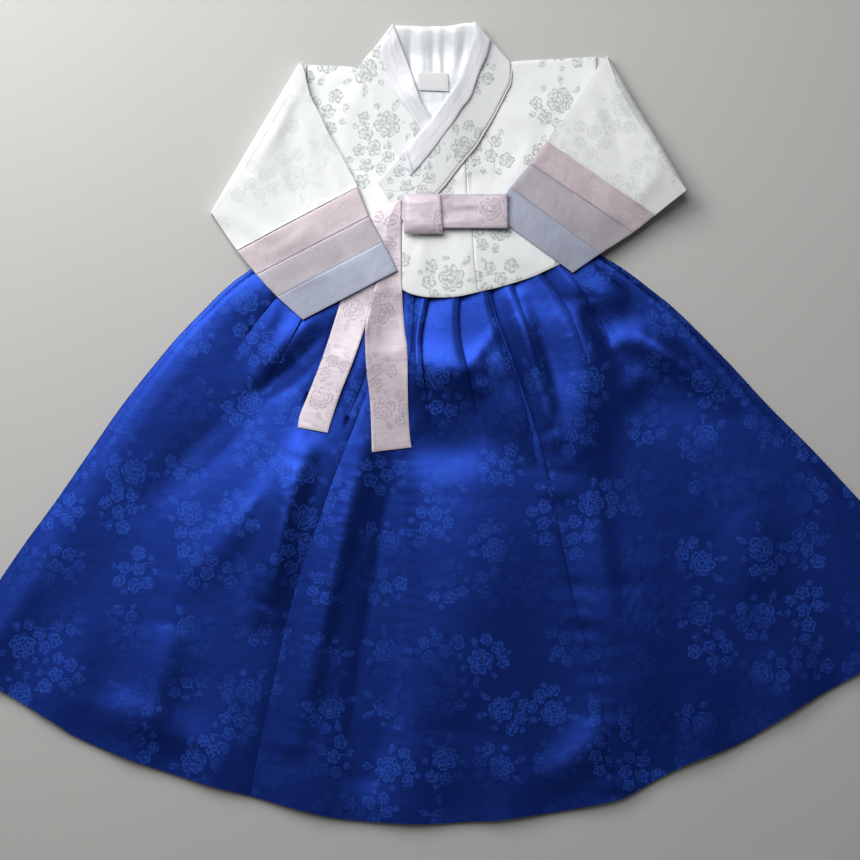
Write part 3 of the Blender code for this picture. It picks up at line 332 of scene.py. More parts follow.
# Neck opening
LINING_TOP = [(-58, 607), (-30, 606), (0, 605), (30, 606), (52, 610), (68, 611)]
LINING_LEFT = [(-58, 607), (-50, 582), (-36, 543), (-22, 499), (-8, 462)]
LINING_RIGHT = [(68, 611), (66, 582), (55, 543), (34, 502), (12, 462)]
LINING_BOTTOM = [(-8, 462), (12, 462)]
NECK_RISE, NECK_RISE_LENGTH = 7.0, 0.35
LABEL_LIFT = 1.6
LABEL_CORNERS = ((-18, 536), (27, 536), (-17, 510), (28, 508))

# Sleeves: the folded-down flap's inner edge and under edge, from the crease to the cuff, with the marks
# where the pink, mauve and blue bands begin, and the armhole end of the hidden lower layer
Sleeve = namedtuple("Sleeve", "side crease top_edge under_edge top_marks under_marks armhole puff raised")
SLEEVES = [
    Sleeve(
        "left",
        ((-196, 552), (-330, 326)),
        [(-196, 552), (-180, 502), (-165, 472), (-150, 440), (-135, 415), (-120, 387), (-108, 363),
         (-90, 319), (-70, 281), (-48, 238)],
        [(-330, 326), (-288, 268), (-259, 232), (-228, 199), (-190, 165)],
        ((-108, 363), (-90, 319), (-70, 281)),
        ((-288, 268), (-259, 232), (-228, 199)),
        ((-186, 548), (-190.5, 316)),
        7.0, 0.0,
    ),
    Sleeve(
        "right",
        ((268, 560), (384, 358)),
        [(268, 560), (255, 546), (243, 528), (232, 510), (217, 487), (202, 468), (187, 450), (175, 433),
         (150, 399), (120, 363), (91, 324)],
        [(384, 358), (337, 322), (303, 295), (255, 264), (213, 235)],
        ((175, 433), (150, 399), (120, 363)),
        ((337, 322), (303, 295), (255, 264)),
        ((254, 560), (262, 316)),
        7.5, 20.0,
    ),
]
CUFF_HOLLOW = 1.9
CUFF_TUCK = 0.8
CUFF_NAMES = ("pink", "mauve", "blue")

# The round of a sleeve's fold and the wall's share at its edges; how many of its columns lie under the fold;
# how stiffly it spans what it lies on; how far from its crease it follows the fold, sinks to the height of
# its lower layer and stays free of creases; how its weave is turned; how near its fold a cuff lies flat
SLEEVE_LEAST_RADIUS = 0.8
SLEEVE_THIN = 0.7
SLEEVE_HIDDEN = 8
SLEEVE_TAUT = 300
SLEEVE_TURN_BLEND = 60.0
SLEEVE_FALL = 190.0
SLEEVE_CREASES_FROM = 25.0
LOWER_LAYER_SHARES = (0.0, 0.35, 0.7)
WEAVE_TURN = {"left": -62, "right": 58}
CUFF_JOIN = 4.0

# Ribbon tie
TAIL_LONG_LEFT = [
    (-52, 342), (-66, 307), (-69, 282), (-81, 220), (-87, 195), (-95, 165), (-97, 135), (-95, 90),
    (-90, 45), (-88, 0), (-87, -33),
]
TAIL_LONG_RIGHT = [
    (-43, 345), (-43, 285), (-42, 210), (-38, 150), (-34, 120), (-33, 45), (-31, 0), (-28, -26),
]
TAIL_SHORT_LEFT = [
    (-58, 341), (-87, 320), (-117, 262), (-135, 190), (-145, 157), (-157, 120), (-168, 90), (-183, 52),
    (-195, 22), (-198, 4),
]
TAIL_SHORT_RIGHT = [
    (-50, 335), (-64, 285), (-80, 219), (-90, 180), (-101, 142), (-117, 97), (-135, 52), (-150, 7),
    (-153, -4),
]
KNOT_LEFT, KNOT_RIGHT = -40, 17
KNOT_TOP, KNOT_BOTTOM = 351, 293
KNOT_SLANT = 4.0
KNOT_CROWN = 4.0
LOOP_LEFT, LOOP_RIGHT = -30, 117
LOOP_TOP, LOOP_BOTTOM = 352, 301
LOOP_FOLD_RADIUS = 2.6
LOOP_TILT = 4.0
LOOP_CROWN = 1.2

# How far the pattern of a piece is moved against its neighbour's, so that it doesn't run on over a seam
PATTERN_SHIFT = {
    "skirt_side_left": (37, 61),
    "skirt_side_right": (-45, 23),
    "overlap_panel_outer": (83, 47),
    "jacket_front_left": (11, -29),
    "collar_outer": (-61, 33),
}

# The cut of what shows of each piece: width and length of its rectangle and its own area, in metres
Cut = namedtuple("Cut", "width length area held rests_on")

# Camera, floor and light, in metres: each lamp's place, size, energy and colour
FLOOR_LEVEL = -0.0005
CAMERA_LENS = 100.0
CAMERA_SENSOR = 36.0
VIEW_WIDTH = 1.29
VIEW_PLANE = 0.010
WALL_LAMP = ((1.8, 0.8), 3.0, (0.97, 0.985, 1.0))
LAMPS = {
    "window": ((-1.05, 1.30, 1.20), (1.0, 1.0), 27.0, (1.0, 0.995, 0.985)),
    "skylight": ((-0.90, 2.15, 4.30), (2.4, 2.4), 98.0, (1.0, 1.0, 1.0)),
    "right wall": ((2.3, 0.2, 0.9), *WALL_LAMP),
    "near wall": ((0.1, -2.3, 0.9), *WALL_LAMP),
    "far wall": ((-0.2, 2.3, 0.9), *WALL_LAMP),
    "left wall": ((-2.3, -0.4, 0.9), *WALL_LAMP),
}
CEILING = (0.90, 0.92, 0.96, 1.0)
CEILING_STRENGTH = 0.02


class Line:
    """A line through a few points, smooth unless it is straight, read by the share of its length."""

    STEPS = 12

    def __init__(self, points, straight=False):
        knots = np.array(points, dtype=float)
        self.points = knots if straight else self.smoothed(knots)
        lengths = np.hypot(*np.diff(self.points, axis=0).T)
        self.length = lengths.sum()
        self.shares = np.concatenate([[0.0], np.cumsum(lengths)]) / self.length

    def smoothed(self, knots):
        """Points along a Catmull-Rom curve."""
        ends = np.vstack([2 * knots[0] - knots[1], knots, 2 * knots[-1] - knots[-2]])
        found = []
        for before, start, end, after in zip(ends, ends[1:], ends[2:], ends[3:]):
            for t in np.linspace(0.0, 1.0, self.STEPS, endpoint=False):
                found.append(
                    0.5 * (2 * start + (end - before) * t
                           + (2 * before - 5 * start + 4 * end - after) * t ** 2
                           + (3 * start - before - 3 * end + after) * t ** 3)
                )
        found.append(knots[-1])
        return np.array(found)

    def at(self, shares):
        """The points at these shares of the length."""
        return np.stack([np.interp(shares, self.shares, self.points[:, k]) for k in (0, 1)], axis=-1)

    def heading(self, shares):
        """The unit direction at these shares of the length."""
        step = 0.01
        ahead = self.at(np.clip(np.asarray(shares) + step, 0, 1))
        behind = self.at(np.clip(np.asarray(shares) - step, 0, 1))
        return unit(ahead - behind)

    def share_near(self, point):
        """The share of the length at which the line passes a point."""
        dense = np.linspace(0.0, 1.0, 2001)
        away = np.linalg.norm(self.at(dense) - np.array(point, dtype=float), axis=-1)
        return dense[away.argmin()]


def smooth(value):
    """Smooth step from 0 to 1."""
    t = np.clip(value, 0.0, 1.0)
    return t * t * (3 - 2 * t)


def unit(ways):
    """The same directions, each one long."""
    return ways / np.linalg.norm(ways, axis=-1, keepdims=True)


def late(value, start):
    """Smooth step that begins at a share and ends at 1."""
    return smooth((value - start) / (1 - start))


def edged(count, ends=WIDE_ENDS):
    """Even shares from 0 to 1, with a few more close to each end, where cloth rounds off."""
    inner = np.linspace(0.0, 1.0, count)[1:-1]
    return np.unique(np.concatenate([[0.0, 1.0], ends, 1 - np.array(ends), inner]))


def patch(left, right, top, bottom, across, down):
    """Plan points that fill four edge lines: a row for each share down, a column for each share across."""
    s = np.asarray(across, dtype=float)[None, :, None]
    t = np.asarray(down, dtype=float)[:, None, None]
    sides = (1 - s) * left.at(down)[:, None, :] + s * right.at(down)[:, None, :]
    ends = (1 - t) * top.at(across)[None] + t * bottom.at(across)[None]
    upper = (1 - s) * left.at(0.0) + s * right.at(0.0)
    lower = (1 - s) * left.at(1.0) + s * right.at(1.0)
    return sides + ends - ((1 - t) * upper + t * lower)


def ruled(first, second, shares):
    """Plan points on straight runs between two rows of points."""
    s = np.array(shares)[None, :, None]
    return first[:, None] * (1 - s) + second[:, None] * s


def with_height(plan, height):
    """Plan points and their heights as one array of points."""
    return np.concatenate([plan, np.broadcast_to(height, plan.shape[:2])[..., None]], axis=-1)


def column_at(points, lift):
    """One column of a wall: its plan points and their heights."""
    return with_height(points[:, None], np.reshape(lift, (-1, 1)))[:, 0]


def rolled(start, outward, radius, base, angles):
    """Columns of cloth that turns over a round fold, from its lower layer to its upper one."""
    columns = []
    for turn in np.radians(angles):
        reach = np.reshape(radius * math.cos(turn), (-1, 1))
        columns.append(column_at(start + outward * reach, base + radius * (1 + math.sin(turn))))
    return columns


def fold_height(plan, folds):
    """The sum of these folds at plan points."""
    total = np.zeros(plan.shape[:-1])
    shares = np.linspace(0.0, 1.0, 33)
    ends = np.sin(math.pi * np.clip(shares, 0.04, 0.96)) ** 0.5
    for fold in folds:
        crest = Line([fold.start, fold.middle, fold.end]).at(shares)
        reach = 3 * fold.half_width
        low, high = crest.min(axis=0) - reach, crest.max(axis=0) + reach
        near = ((plan > low) & (plan < high)).all(axis=-1)
        away = np.linalg.norm(plan[near][:, None, :] - crest, axis=-1)
        closest = away.argmin(axis=-1)
        total[near] += fold.height * ends[closest] * np.exp(-(away.min(axis=-1) / fold.half_width) ** 2)
    return total


def outer_side(inner, thickness):
    """The far side of a wall, one thickness away on the side that faces up at the wall's last column."""
    along = inner[1:, 1:] - inner[:-1, :-1]
    over = inner[:-1, 1:] - inner[1:, :-1]
    faces = np.cross(along, over)
    faces = faces / np.maximum(np.linalg.norm(faces, axis=-1, keepdims=True), 1e-9)
    if faces[:, -1, 2].mean() < 0:
        faces = -faces
    total = np.zeros_like(inner)
    count = np.zeros(inner.shape[:2] + (1,))
    for rows in (slice(None, -1), slice(1, None)):
        for columns in (slice(None, -1), slice(1, None)):
            total[rows, columns] += faces
            count[rows, columns] += 1
    mean = total / count
    length = np.linalg.norm(mean, axis=-1, keepdims=True)
    reach = np.broadcast_to(np.asarray(thickness, dtype=float), inner.shape[:2])[..., None]
    return inner + mean / length * reach / np.clip(length, 0.75, 1.0)


def from_border(points):
    """The distance of each point of a piece from the piece's own nearest border."""
    across = np.linalg.norm(np.diff(points, axis=1), axis=-1)
    down = np.linalg.norm(np.diff(points, axis=0), axis=-1)
    left = np.concatenate([np.zeros((len(points), 1)), np.cumsum(across, axis=1)], axis=1)
    top = np.concatenate([np.zeros((1, points.shape[1])), np.cumsum(down, axis=0)], axis=0)
    return np.minimum.reduce([left, left[:, -1:] - left, top, top[-1:] - top])


def rounded_wall(inner, wall, rounding=SEAM_ROUNDING):
    """A wall's thickness at each point: thinner close to its borders, as cloth is at a pressed seam."""
    pressed, thin = rounding
    return wall * (thin + (1 - thin) * np.sin(np.clip(from_border(inner) / pressed, 0, 1) * math.pi / 2))


class Pile:
    """The height of what already lies on the table, kept on a square net, for the next layer to rest on."""

    CELL = 2.0
    LOW = np.array((-780.0, -640.0))
    HIGH = np.array((820.0, 660.0))

    def __init__(self):
        columns, rows = ((self.HIGH - self.LOW) / self.CELL).astype(int) + 1
        self.heights = np.zeros((rows, columns))

    def cover(self, points):
        """Adds a piece by the points of its upper side."""
        longest = max(
            np.linalg.norm(np.diff(points[..., :2], axis=0), axis=-1).max(),
            np.linalg.norm(np.diff(points[..., :2], axis=1), axis=-1).max(),
        )
        shares = np.linspace(0.0, 1.0, int(longest / self.CELL * 1.5) + 2)
        for a in shares:
            for b in shares:
                mixed = (
                    (1 - a) * (1 - b) * points[:-1, :-1] + a * (1 - b) * points[1:, :-1]
                    + (1 - a) * b * points[:-1, 1:] + a * b * points[1:, 1:]
                ).reshape(-1, 3)
                column, row = np.round((mixed[:, :2] - self.LOW) / self.CELL).astype(int).T
                np.maximum.at(self.heights, (row, column), mixed[:, 2])

    def rest(self, plan):
        """The lowest height at which each point of a piece clears everything under its own cells."""
        found = np.zeros(plan.shape[:2])
        for i in range(plan.shape[0]):
            for j in range(plan.shape[1]):
                near = plan[max(i - 1, 0):i + 2, max(j - 1, 0):j + 2].reshape(-1, 2)
                low = np.floor((near.min(axis=0) - self.LOW) / self.CELL).astype(int)
                high = np.ceil((near.max(axis=0) - self.LOW) / self.CELL).astype(int)
                found[i, j] = self.heights[low[1]:high[1] + 1, low[0]:high[0] + 1].max()
        return found


def mean_around(height):
    """Each height's mean with its four neighbours'."""
    padded = np.pad(height, 1, mode="edge")
    return (padded[:-2, 1:-1] + padded[2:, 1:-1] + padded[1:-1, :-2] + padded[1:-1, 2:]) / 4


def draped(height, rounds):
    """Heights of stiff cloth, which spans the dips between the points that carry it."""
    lowest = height.copy()
    for _ in range(rounds):
        height = np.maximum(lowest, mean_around(height))
    for _ in range(max(3, rounds // 6)):
        height = np.maximum(mean_around(height), lowest - 0.15)
    return height


# Finishes


class Value:
    """A number in a shader, so that maths on it is written as maths."""

    def __init__(self, paint, socket):
        self.paint = paint
        self.socket = socket

    def maths(self, operation, *others):
        """The value and the others, in this order, through one Math node."""
        return self.paint.value("ShaderNodeMath", {"operation": operation}, (self, *others))

    def __add__(self, other):
        return self.maths("ADD", other)

    def __radd__(self, other):
        return self.maths("ADD", other)

    def __sub__(self, other):
        return self.maths("SUBTRACT", other)

    def __rsub__(self, other):
        return self.paint.value("ShaderNodeMath", {"operation": "SUBTRACT"}, (other, self))

    def __mul__(self, other):
        return self.maths("MULTIPLY", other)

    def __rmul__(self, other):
        return self.maths("MULTIPLY", other)

    def __truediv__(self, other):
        return self.maths("DIVIDE", other)

    def __lt__(self, other):
        return self.maths("LESS_THAN", other)

    def __gt__(self, other):
        return self.maths("GREATER_THAN", other)

    def __abs__(self):
        return self.maths("ABSOLUTE")

    def power(self, exponent):
        return self.maths("POWER", exponent)

    def cosine(self):
        return self.maths("COSINE")

    def sine(self):
        return self.maths("SINE")

    def least(self, other):
        return self.maths("MINIMUM", other)

    def most(self, other):
        return self.maths("MAXIMUM", other)

    def between(self, low, high):
        """Soft step from 0 at low to 1 at high."""
        settings = {"interpolation_type": "SMOOTHSTEP"}
        return self.paint.value("ShaderNodeMapRange", settings, (self, low, high, 0.0, 1.0))

    def near(self, place, width):
        """1 where the value is at a place, falling to 0 one width away."""
        return 1 - abs(self - place).between(0.0, width)


class Paint:
    """A material being made, on the piece's own cloth coordinates, which are metres along the weave."""

    def __init__(self, name):
        self.material = bpy.data.materials.new(name)
        self.material.use_nodes = True
        self.tree = self.material.node_tree
        self.shader = self.tree.nodes["Principled BSDF"]

    def node(self, kind, settings, inputs=()):
        """Makes a node, settings first, then its inputs in order or by name."""
        made = self.tree.nodes.new(kind)
        for key, setting in settings.items():
            setattr(made, key, setting)
        items = inputs.items() if isinstance(inputs, dict) else enumerate(inputs)
        for key, given in items:
            self.feed(made.inputs[key], given)
        return made

    def feed(self, socket, given):
        """Sets a socket, or links it."""
        if isinstance(given, Value):
            given = given.socket
        if isinstance(given, bpy.types.NodeSocket):
            self.tree.links.new(given, socket)
        else:
            socket.default_value = given

    def value(self, kind, settings, inputs=()):
        """Makes a node and gives its first output as a number to do maths with."""
        return Value(self, self.node(kind, settings, inputs).outputs[0])

    def cloth(self, layer="cloth"):
        """The piece's cloth coordinates in metres, or another layer of coordinates."""
        return self.node("ShaderNodeUVMap", {"uv_map": layer}).outputs[0]

    def share(self):
        """How far across and down the piece, from 0 to 1."""
        parts = self.node("ShaderNodeSeparateXYZ", {}, (self.cloth("share"),))
        return Value(self, parts.outputs[0]), Value(self, parts.outputs[1])

    def scaled(self, vector, factors):
        """Coordinates stretched along each axis."""
        return self.node("ShaderNodeVectorMath", {"operation": "MULTIPLY"}, (vector, factors)).outputs[0]

    def noise(self, vector, size, detail=2.0):
        """Soft noise from 0 to 1 whose lumps have this size in metres."""
        inputs = {"Vector": vector, "Scale": 1.0 / size, "Detail": detail}
        return self.value("ShaderNodeTexNoise", {"noise_dimensions": "2D"}, inputs)

    def blend(self, factor, first, second):
        """One colour turning into another."""
        settings = {"data_type": "RGBA", "clamp_factor": True}
        inputs = {0: factor, 6: (*first, 1.0) if isinstance(first, tuple) else first,
                  7: (*second, 1.0) if isinstance(second, tuple) else second}
        return self.node("ShaderNodeMix", settings, inputs).outputs[2]

    def cells(self, vector, size, scatter):
        """Scattered places this far apart: the way from the nearest, and three numbers of its own."""
        inputs = {"Vector": vector, "Scale": 1.0 / size, "Randomness": scatter}
        made = self.node("ShaderNodeTexVoronoi", {"voronoi_dimensions": "2D", "feature": "F1"}, inputs)
        away = self.node("ShaderNodeVectorMath", {"operation": "SUBTRACT"}, (vector, made.outputs["Position"]))
        parts = self.node("ShaderNodeSeparateXYZ", {}, (away.outputs[0],))
        own = self.node("ShaderNodeSeparateColor", {}, (made.outputs["Color"],))
        x, y = Value(self, parts.outputs[0]), Value(self, parts.outputs[1])
        return x, y, [Value(self, own.outputs[k]) for k in range(3)]

    def finish(self, colour, roughness, bump=None, metallic=0.0):
        """Feeds the shader and gives the finished material."""
        self.feed(self.shader.inputs["Base Color"], colour)
        self.feed(self.shader.inputs["Roughness"], roughness)
        self.feed(self.shader.inputs["Metallic"], metallic)
        if bump is not None:
            inputs = {"Strength": 1.0, "Distance": 1.0, "Height": bump}
            made = self.node("ShaderNodeBump", {}, inputs)
            self.feed(self.shader.inputs["Normal"], made.outputs[0])
        return self.material


def flower(x, y, turn, radius, petals, hollow):
    """A petalled flower: its filled petals, and the lines of their outline, clefts and middle."""
    away = (x * x + y * y).power(0.5) / radius
    lobe = abs(((y.maths("ARCTAN2", x) + turn) * (petals / 2)).cosine())
    rim = lobe.power(0.55) * hollow + (1 - hollow)
    fill = (rim - away).between(0.0, 0.12)
    outline = (away - rim * 0.93).near(0.0, 0.15)
    clefts = (1 - lobe.between(0.0, 0.34)) * (away > 0.22) * fill
    return fill, outline.most(clefts).most(away.near(0.18, 0.12))


def peony(x, y, turn, radius):
    """A full flower head of rings of petals."""
    away = (x * x + y * y).power(0.5) / radius
    angle = y.maths("ARCTAN2", x) + turn
    angle = angle + (angle * 2 + 1.0).sine() * 0.2
    fill, lines = None, None
    for petals, place, phase, depth in PEONY_RINGS:
        lobe = abs((angle * (petals / 2) + phase).cosine()).power(0.6)
        edge = away - lobe * (place * depth)
        ring = edge.near(place * (1 - depth) - 0.03, 0.09)
        inside = edge < place * (1 - depth)
        clefts = (1 - lobe.between(0.0, 0.38)) * (away > place * 0.62) * inside
        lines = ring.most(clefts) if lines is None else lines.most(ring).most(clefts)
        fill = inside if fill is None else fill
    return fill, lines


def leaf(x, y, turn, offset, length, width):
    """One pointed leaf, its middle this far from the zero, with its rib and edge."""
    along = x * math.cos(turn) + y * math.sin(turn) - offset
    over = y * math.cos(turn) - x * math.sin(turn)
    share = along / length
    half = (1 - share * share) * (1 + share * 0.4).most(0.2) * width
    fill = (half - abs(over)).between(0.0, width * 0.3)
    return fill, (abs(over) - half * 0.85).near(0.0, width * 0.24).most(over.near(0.0, width * 0.16)) * fill


def nearest(x, y, places):
    """The way from the nearest of some places, over that place's own size."""
    found = None
    for across, up, size in places:
        here = ((x - across * MM) / (size * MM), (y - up * MM) / (size * MM))
        away = here[0] * here[0] + here[1] * here[1]
        if found is None:
            found, closest = here, away
            continue
        nearer = away < closest
        found = tuple(old + nearer * (new - old) for old, new in zip(found, here))
        closest = closest.least(away)
    return found


# Woven pattern, in metres: the sprays' spacing and how much they scatter, how finely and how far their lines
# wander, how fine the broken threads are, and the share of the sprays that hold a flower head
SPRAY_SPACING, SPRAY_SCATTER = 0.086, 0.45
WANDER_SCALE, WANDER_REACH = 85.0, 0.0052
THREAD_GRAIN = 0.0042
FULL_TURN = 6.283
HEAD_SHARE = 0.45

# What grows in a spray, in millimetres from its middle: blossoms with their radius, a flower head with its
# rings of petals (how many, how far out, how far turned, how deeply cut), and leaves (way, place, length, width)
BLOSSOMS = ((18, 14, 10.5), (26, -8, 9.0), (2, 27, 9.0), (35, 7, 4.6), (-17, 26, 5.0), (12, -28, 4.6))
BRANCH_BLOSSOMS = ((-25, -10, 11.0), (-6, 4, 10.0), (6, -15, 9.0), (-31, 10, 4.8))
PEONY_RINGS = ((7, 1.0, 0.0, 0.30), (6, 0.66, 0.9, 0.30), (4, 0.36, 0.4, 0.34))
PEONY_PLACE = (-8, -6)
PEONY_RADIUS = 19.0
LEAVES = ((3.5, 30, 11, 5.2), (4.5, 30, 12, 5.0), (1.9, 29, 10, 4.6), (0.2, 31, 9, 4.2))


def brocade(paint, vector, motif=1.0):
    """Woven sprays on a soft net of places: some hold a flower head and leaves, some a plum branch."""
    shaky = paint.node("ShaderNodeTexNoise", {"noise_dimensions": "2D"},
                       {"Vector": vector, "Scale": WANDER_SCALE / motif, "Detail": 2.0})
    moved = paint.node("ShaderNodeVectorMath", {"operation": "MULTIPLY_ADD"},
                       (shaky.outputs["Color"], (WANDER_REACH * motif,) * 3, vector)).outputs[0]
    x, y, own = paint.cells(moved, SPRAY_SPACING * motif, SPRAY_SCATTER)
    turn = own[0] * FULL_TURN
    x, y = (x * turn.cosine() + y * turn.sine()) / motif, (y * turn.cosine() - x * turn.sine()) / motif
    head = own[1] < HEAD_SHARE

    near_x, near_y = nearest(x, y, BLOSSOMS)
    fill, lines = flower(near_x, near_y, 0.3, 1.0, 5, 0.36)
    near_x, near_y = nearest(x, y, BRANCH_BLOSSOMS)
    branch_fill, branch_lines = flower(near_x, near_y, 1.0, 1.0, 5, 0.36)
    stem = (y - x * x * 14.0 + x * 0.35 + 0.004).near(0.0, 0.0011) * (abs(x) < 0.031)
    branch_lines = branch_lines.most(stem * (1 - branch_fill) * (1 - fill))

    x, y = x - PEONY_PLACE[0] * MM, y - PEONY_PLACE[1] * MM
    head_fill, head_lines = peony(x, y, 0.5, PEONY_RADIUS * MM)
    for way, offset, length, width in LEAVES:
        leaf_fill, leaf_lines = leaf(x, y, way, offset * MM, length * MM, width * MM)
        head_fill, head_lines = head_fill.most(leaf_fill), head_lines.most(leaf_lines)
    own_fill = branch_fill + head * (head_fill - branch_fill)
    own_lines = branch_lines + head * (head_lines - branch_lines)
    grain = paint.noise(vector, THREAD_GRAIN)
    fill = fill.most(own_fill) * (0.35 + grain.between(0.44, 0.60) * 1.9)
    lines = lines.most(own_lines) * (0.45 + grain.between(0.36, 0.56) * 0.65)
    return fill, lines


def weave_bump(paint, vector, ripple=0.0009):
    """Slight unevenness of satin: thread slubs along the weave and soft ripples."""
    slubs = paint.noise(paint.scaled(vector, (0.12, 1.0, 1.0)), 0.0022)
    return slubs * 0.00004 + paint.noise(vector, 0.03) * ripple


def skirt_finish():
    """Royal blue satin with tone-on-tone sprays that shine less than the ground."""
    paint = Paint("royal blue brocade satin")
    vector = paint.cloth()
    fill, lines = brocade(paint, vector)
    tone = paint.noise(vector, 0.16, 1.0)
    pattern = (fill * 0.22).most(lines) * (0.12 + tone.between(0.38, 0.60) * 0.44)
    ground = paint.blend(tone, (0.0135, 0.045, 0.33), (0.015, 0.051, 0.36))
    colour = paint.blend(pattern, ground, (0.055, 0.185, 0.88))
    return paint.finish(colour, 0.46 + pattern * 0.42, weave_bump(paint, vector, 0.0005), 0.93)


def white_finish(name, ground, thread, strength, seamed=False):
    """White brocade satin: grey-white outline flowers on a shinier ground, and a seam line if it has one."""
    paint = Paint(name)
    vector = paint.cloth()
    fill, lines = brocade(paint, vector, 1.05)
    pattern = (fill * 0.32).most(lines) * strength
    if seamed:
        across, _ = paint.share()
        pattern = pattern.most((across > 0.965) * 0.7)
    colour = paint.blend(pattern, ground, thread)
    return paint.finish(colour, 0.55 + pattern * 0.1, weave_bump(paint, vector), 0.06)


def plain_satin(name, ground, streak, streaks, rough, metallic=0.12):
    """Smooth satin with faint lengthwise streaks."""
    paint = Paint(name)
    vector = paint.cloth()
    lengthwise = paint.noise(paint.scaled(vector, (1.0, 0.06, 1.0)), 0.004)
    colour = paint.blend(lengthwise.between(0.35, 0.7) * streaks, ground, streak)
    bump = weave_bump(paint, vector) + lengthwise * 0.00008
    return paint.finish(colour, rough, bump, metallic)


def cuff_finish(name, ground, thread, motif, strength=0.6, shine=0.12):
    """Pastel satin with small woven sprays and crosswise slubs."""
    paint = Paint(name)
    vector = paint.cloth()
    fill, lines = brocade(paint, vector, motif)
    pattern = (fill * 0.14).most(lines)
    slubs = paint.noise(paint.scaled(vector, (0.08, 1.0, 1.0)), 0.003)
    colour = paint.blend(pattern * strength + slubs.between(0.4, 0.75) * 0.12, ground, thread)
    return paint.finish(colour, 0.46 + pattern * 0.1, weave_bump(paint, vector) + slubs * 0.00006, shine)


def label_finish():
    """Bare woven tape with a stitched border."""
    paint = Paint("white label tape")
    across, down = paint.share()
    vector = paint.cloth()
    border = across.near(0.06, 0.02).most(across.near(0.94, 0.02)).most(down.near(0.1, 0.04))
    stitches = border * (paint.noise(vector, 0.0016, 0.0) > 0.5)
    ribs = paint.noise(paint.scaled(vector, (0.1, 1.0, 1.0)), 0.001, 1.0)
    colour = paint.blend(stitches * 0.5, (0.76, 0.77, 0.79), (0.55, 0.57, 0.62))
    return paint.finish(colour, 0.75, ribs * 0.0001 + stitches * 0.0001)


def cord_finish():
    """Cream edging, twisted like a fine cord."""
    paint = Paint("cream edging")
    vector = paint.cloth()
    twist = paint.value(
        "ShaderNodeTexWave", {"wave_type": "BANDS", "bands_direction": "DIAGONAL"},
        {"Vector": vector, "Scale": 180.0, "Distortion": 0.4},
    )
    colour = paint.blend(twist, (0.55, 0.54, 0.50), (0.76, 0.75, 0.70))
    return paint.finish(colour, 0.6, twist * 0.0002)


# Painted shade: the share of their brightness that copies of the same cloths keep on the side of the jacket away
# from the window
PAINTED_SHADE_SHARE = 0.87


def with_painted_shade(*colours):
    """The same cloth's colours, darkened as painted shade, for the side of the jacket that is turned away from
    the window.
    """
    return [tuple(part * PAINTED_SHADE_SHARE for part in colour) for colour in colours]


def make_ribbons():
    """The ribbon's rose satin as it is on the long end and the knot, with a copy lightened as painted light for
    the short end and one darkened as painted shade for the loop.
    """
    cloths = {
        "ribbon_satin": ("", 0.75, (0.73, 0.63, 0.69), (0.30, 0.25, 0.34)),
        "ribbon_lit": (", short end, painted light", 0.7, (0.82, 0.73, 0.79), (0.36, 0.31, 0.40)),
        "ribbon_shaded": (", loop, painted shade", 0.75, (0.62, 0.54, 0.60), (0.28, 0.24, 0.32)),
    }
    return {key: cuff_finish("ribbon rose satin" + where, ground, thread, 0.90, strength, 0.16)
            for key, (where, strength, ground, thread) in cloths.items()}


def make_bands():
    """The satin of the three cuff bands, for either side of the jacket: plain, and darkened as painted shade for
    the side away from the window.
    """
    finishes = {}
    for side, shade in (("", lambda *colours: colours), ("_away", with_painted_shade)):
        where = ", painted shade" if side else ""
        finishes |= {
            "cuff_pink" + side: cuff_finish(
                "pink band satin" + where, *shade((0.53, 0.45, 0.49), (0.72, 0.64, 0.67)), 0.8),
            "cuff_mauve" + side: cuff_finish(
                "mauve band satin" + where, *shade((0.44, 0.41, 0.46), (0.58, 0.53, 0.56)), 0.8),
            "cuff_blue" + side: plain_satin(
                "lavender band satin" + where, *shade((0.42, 0.45, 0.57), (0.36, 0.39, 0.52)), 0.25, 0.45),
        }
    return finishes


def make_finishes():
    """Every finish, by the name of its slot or of the side or part of the cloth that it is for: copies darkened
    as painted shade for the jacket's far side, and ribbon copies with painted light or painted shade.
    """
    white, grey = (0.86, 0.88, 0.885), (0.38, 0.40, 0.42)
    sleeve, sleeve_thread = (0.85, 0.87, 0.875), (0.58, 0.60, 0.62)
    collar, strip, streak = (0.83, 0.85, 0.855), (0.84, 0.85, 0.89), (0.64, 0.65, 0.75)
    lining, lining_streak = (0.84, 0.87, 0.90), (0.70, 0.73, 0.78)
    cotton, cotton_streak = (0.70, 0.72, 0.74), (0.62, 0.64, 0.68)
    return {
        "skirt_satin": skirt_finish(),
        "skirt_band": plain_satin("white band cotton", cotton, cotton_streak, 0.3, 0.8, 0.0),
        "jacket_brocade": white_finish("white brocade satin", white, grey, 0.9),
        "collar_brocade": white_finish("white collar brocade", collar, grey, 0.9, True),
        # Painted shade: the collar brocade darkened for the side away from the window
        "collar_away": white_finish("white collar brocade, far side", *with_painted_shade(collar, grey), 0.9, True),
        "sleeve_brocade": white_finish("white sleeve brocade", sleeve, sleeve_thread, 0.5),
        # Painted shade: the sleeve brocade darkened for the side away from the window
        "sleeve_away": white_finish("white sleeve brocade, far side", *with_painted_shade(sleeve, sleeve_thread), 0.6),
        "neck_lining": plain_satin("white satin lining", lining, lining_streak, 0.4, 0.38, 0.15),
        "collar_strip": plain_satin("white collar satin", strip, streak, 0.5, 0.42, 0.10),
        # Painted shade: the collar satin darkened for the side away from the window
        "strip_away": plain_satin("white collar satin, far side", *with_painted_shade(strip, streak), 0.6, 0.42, 0.10),
        "collar_edging": cord_finish(),
        "label_tape": label_finish(),
        **make_ribbons(),
        **make_bands(),
    }


# Making a piece

FINISHES = make_finishes()
SLOT_OF = {row["node"]: row["material_slot"] for row in frame["record"]["subparts"]}


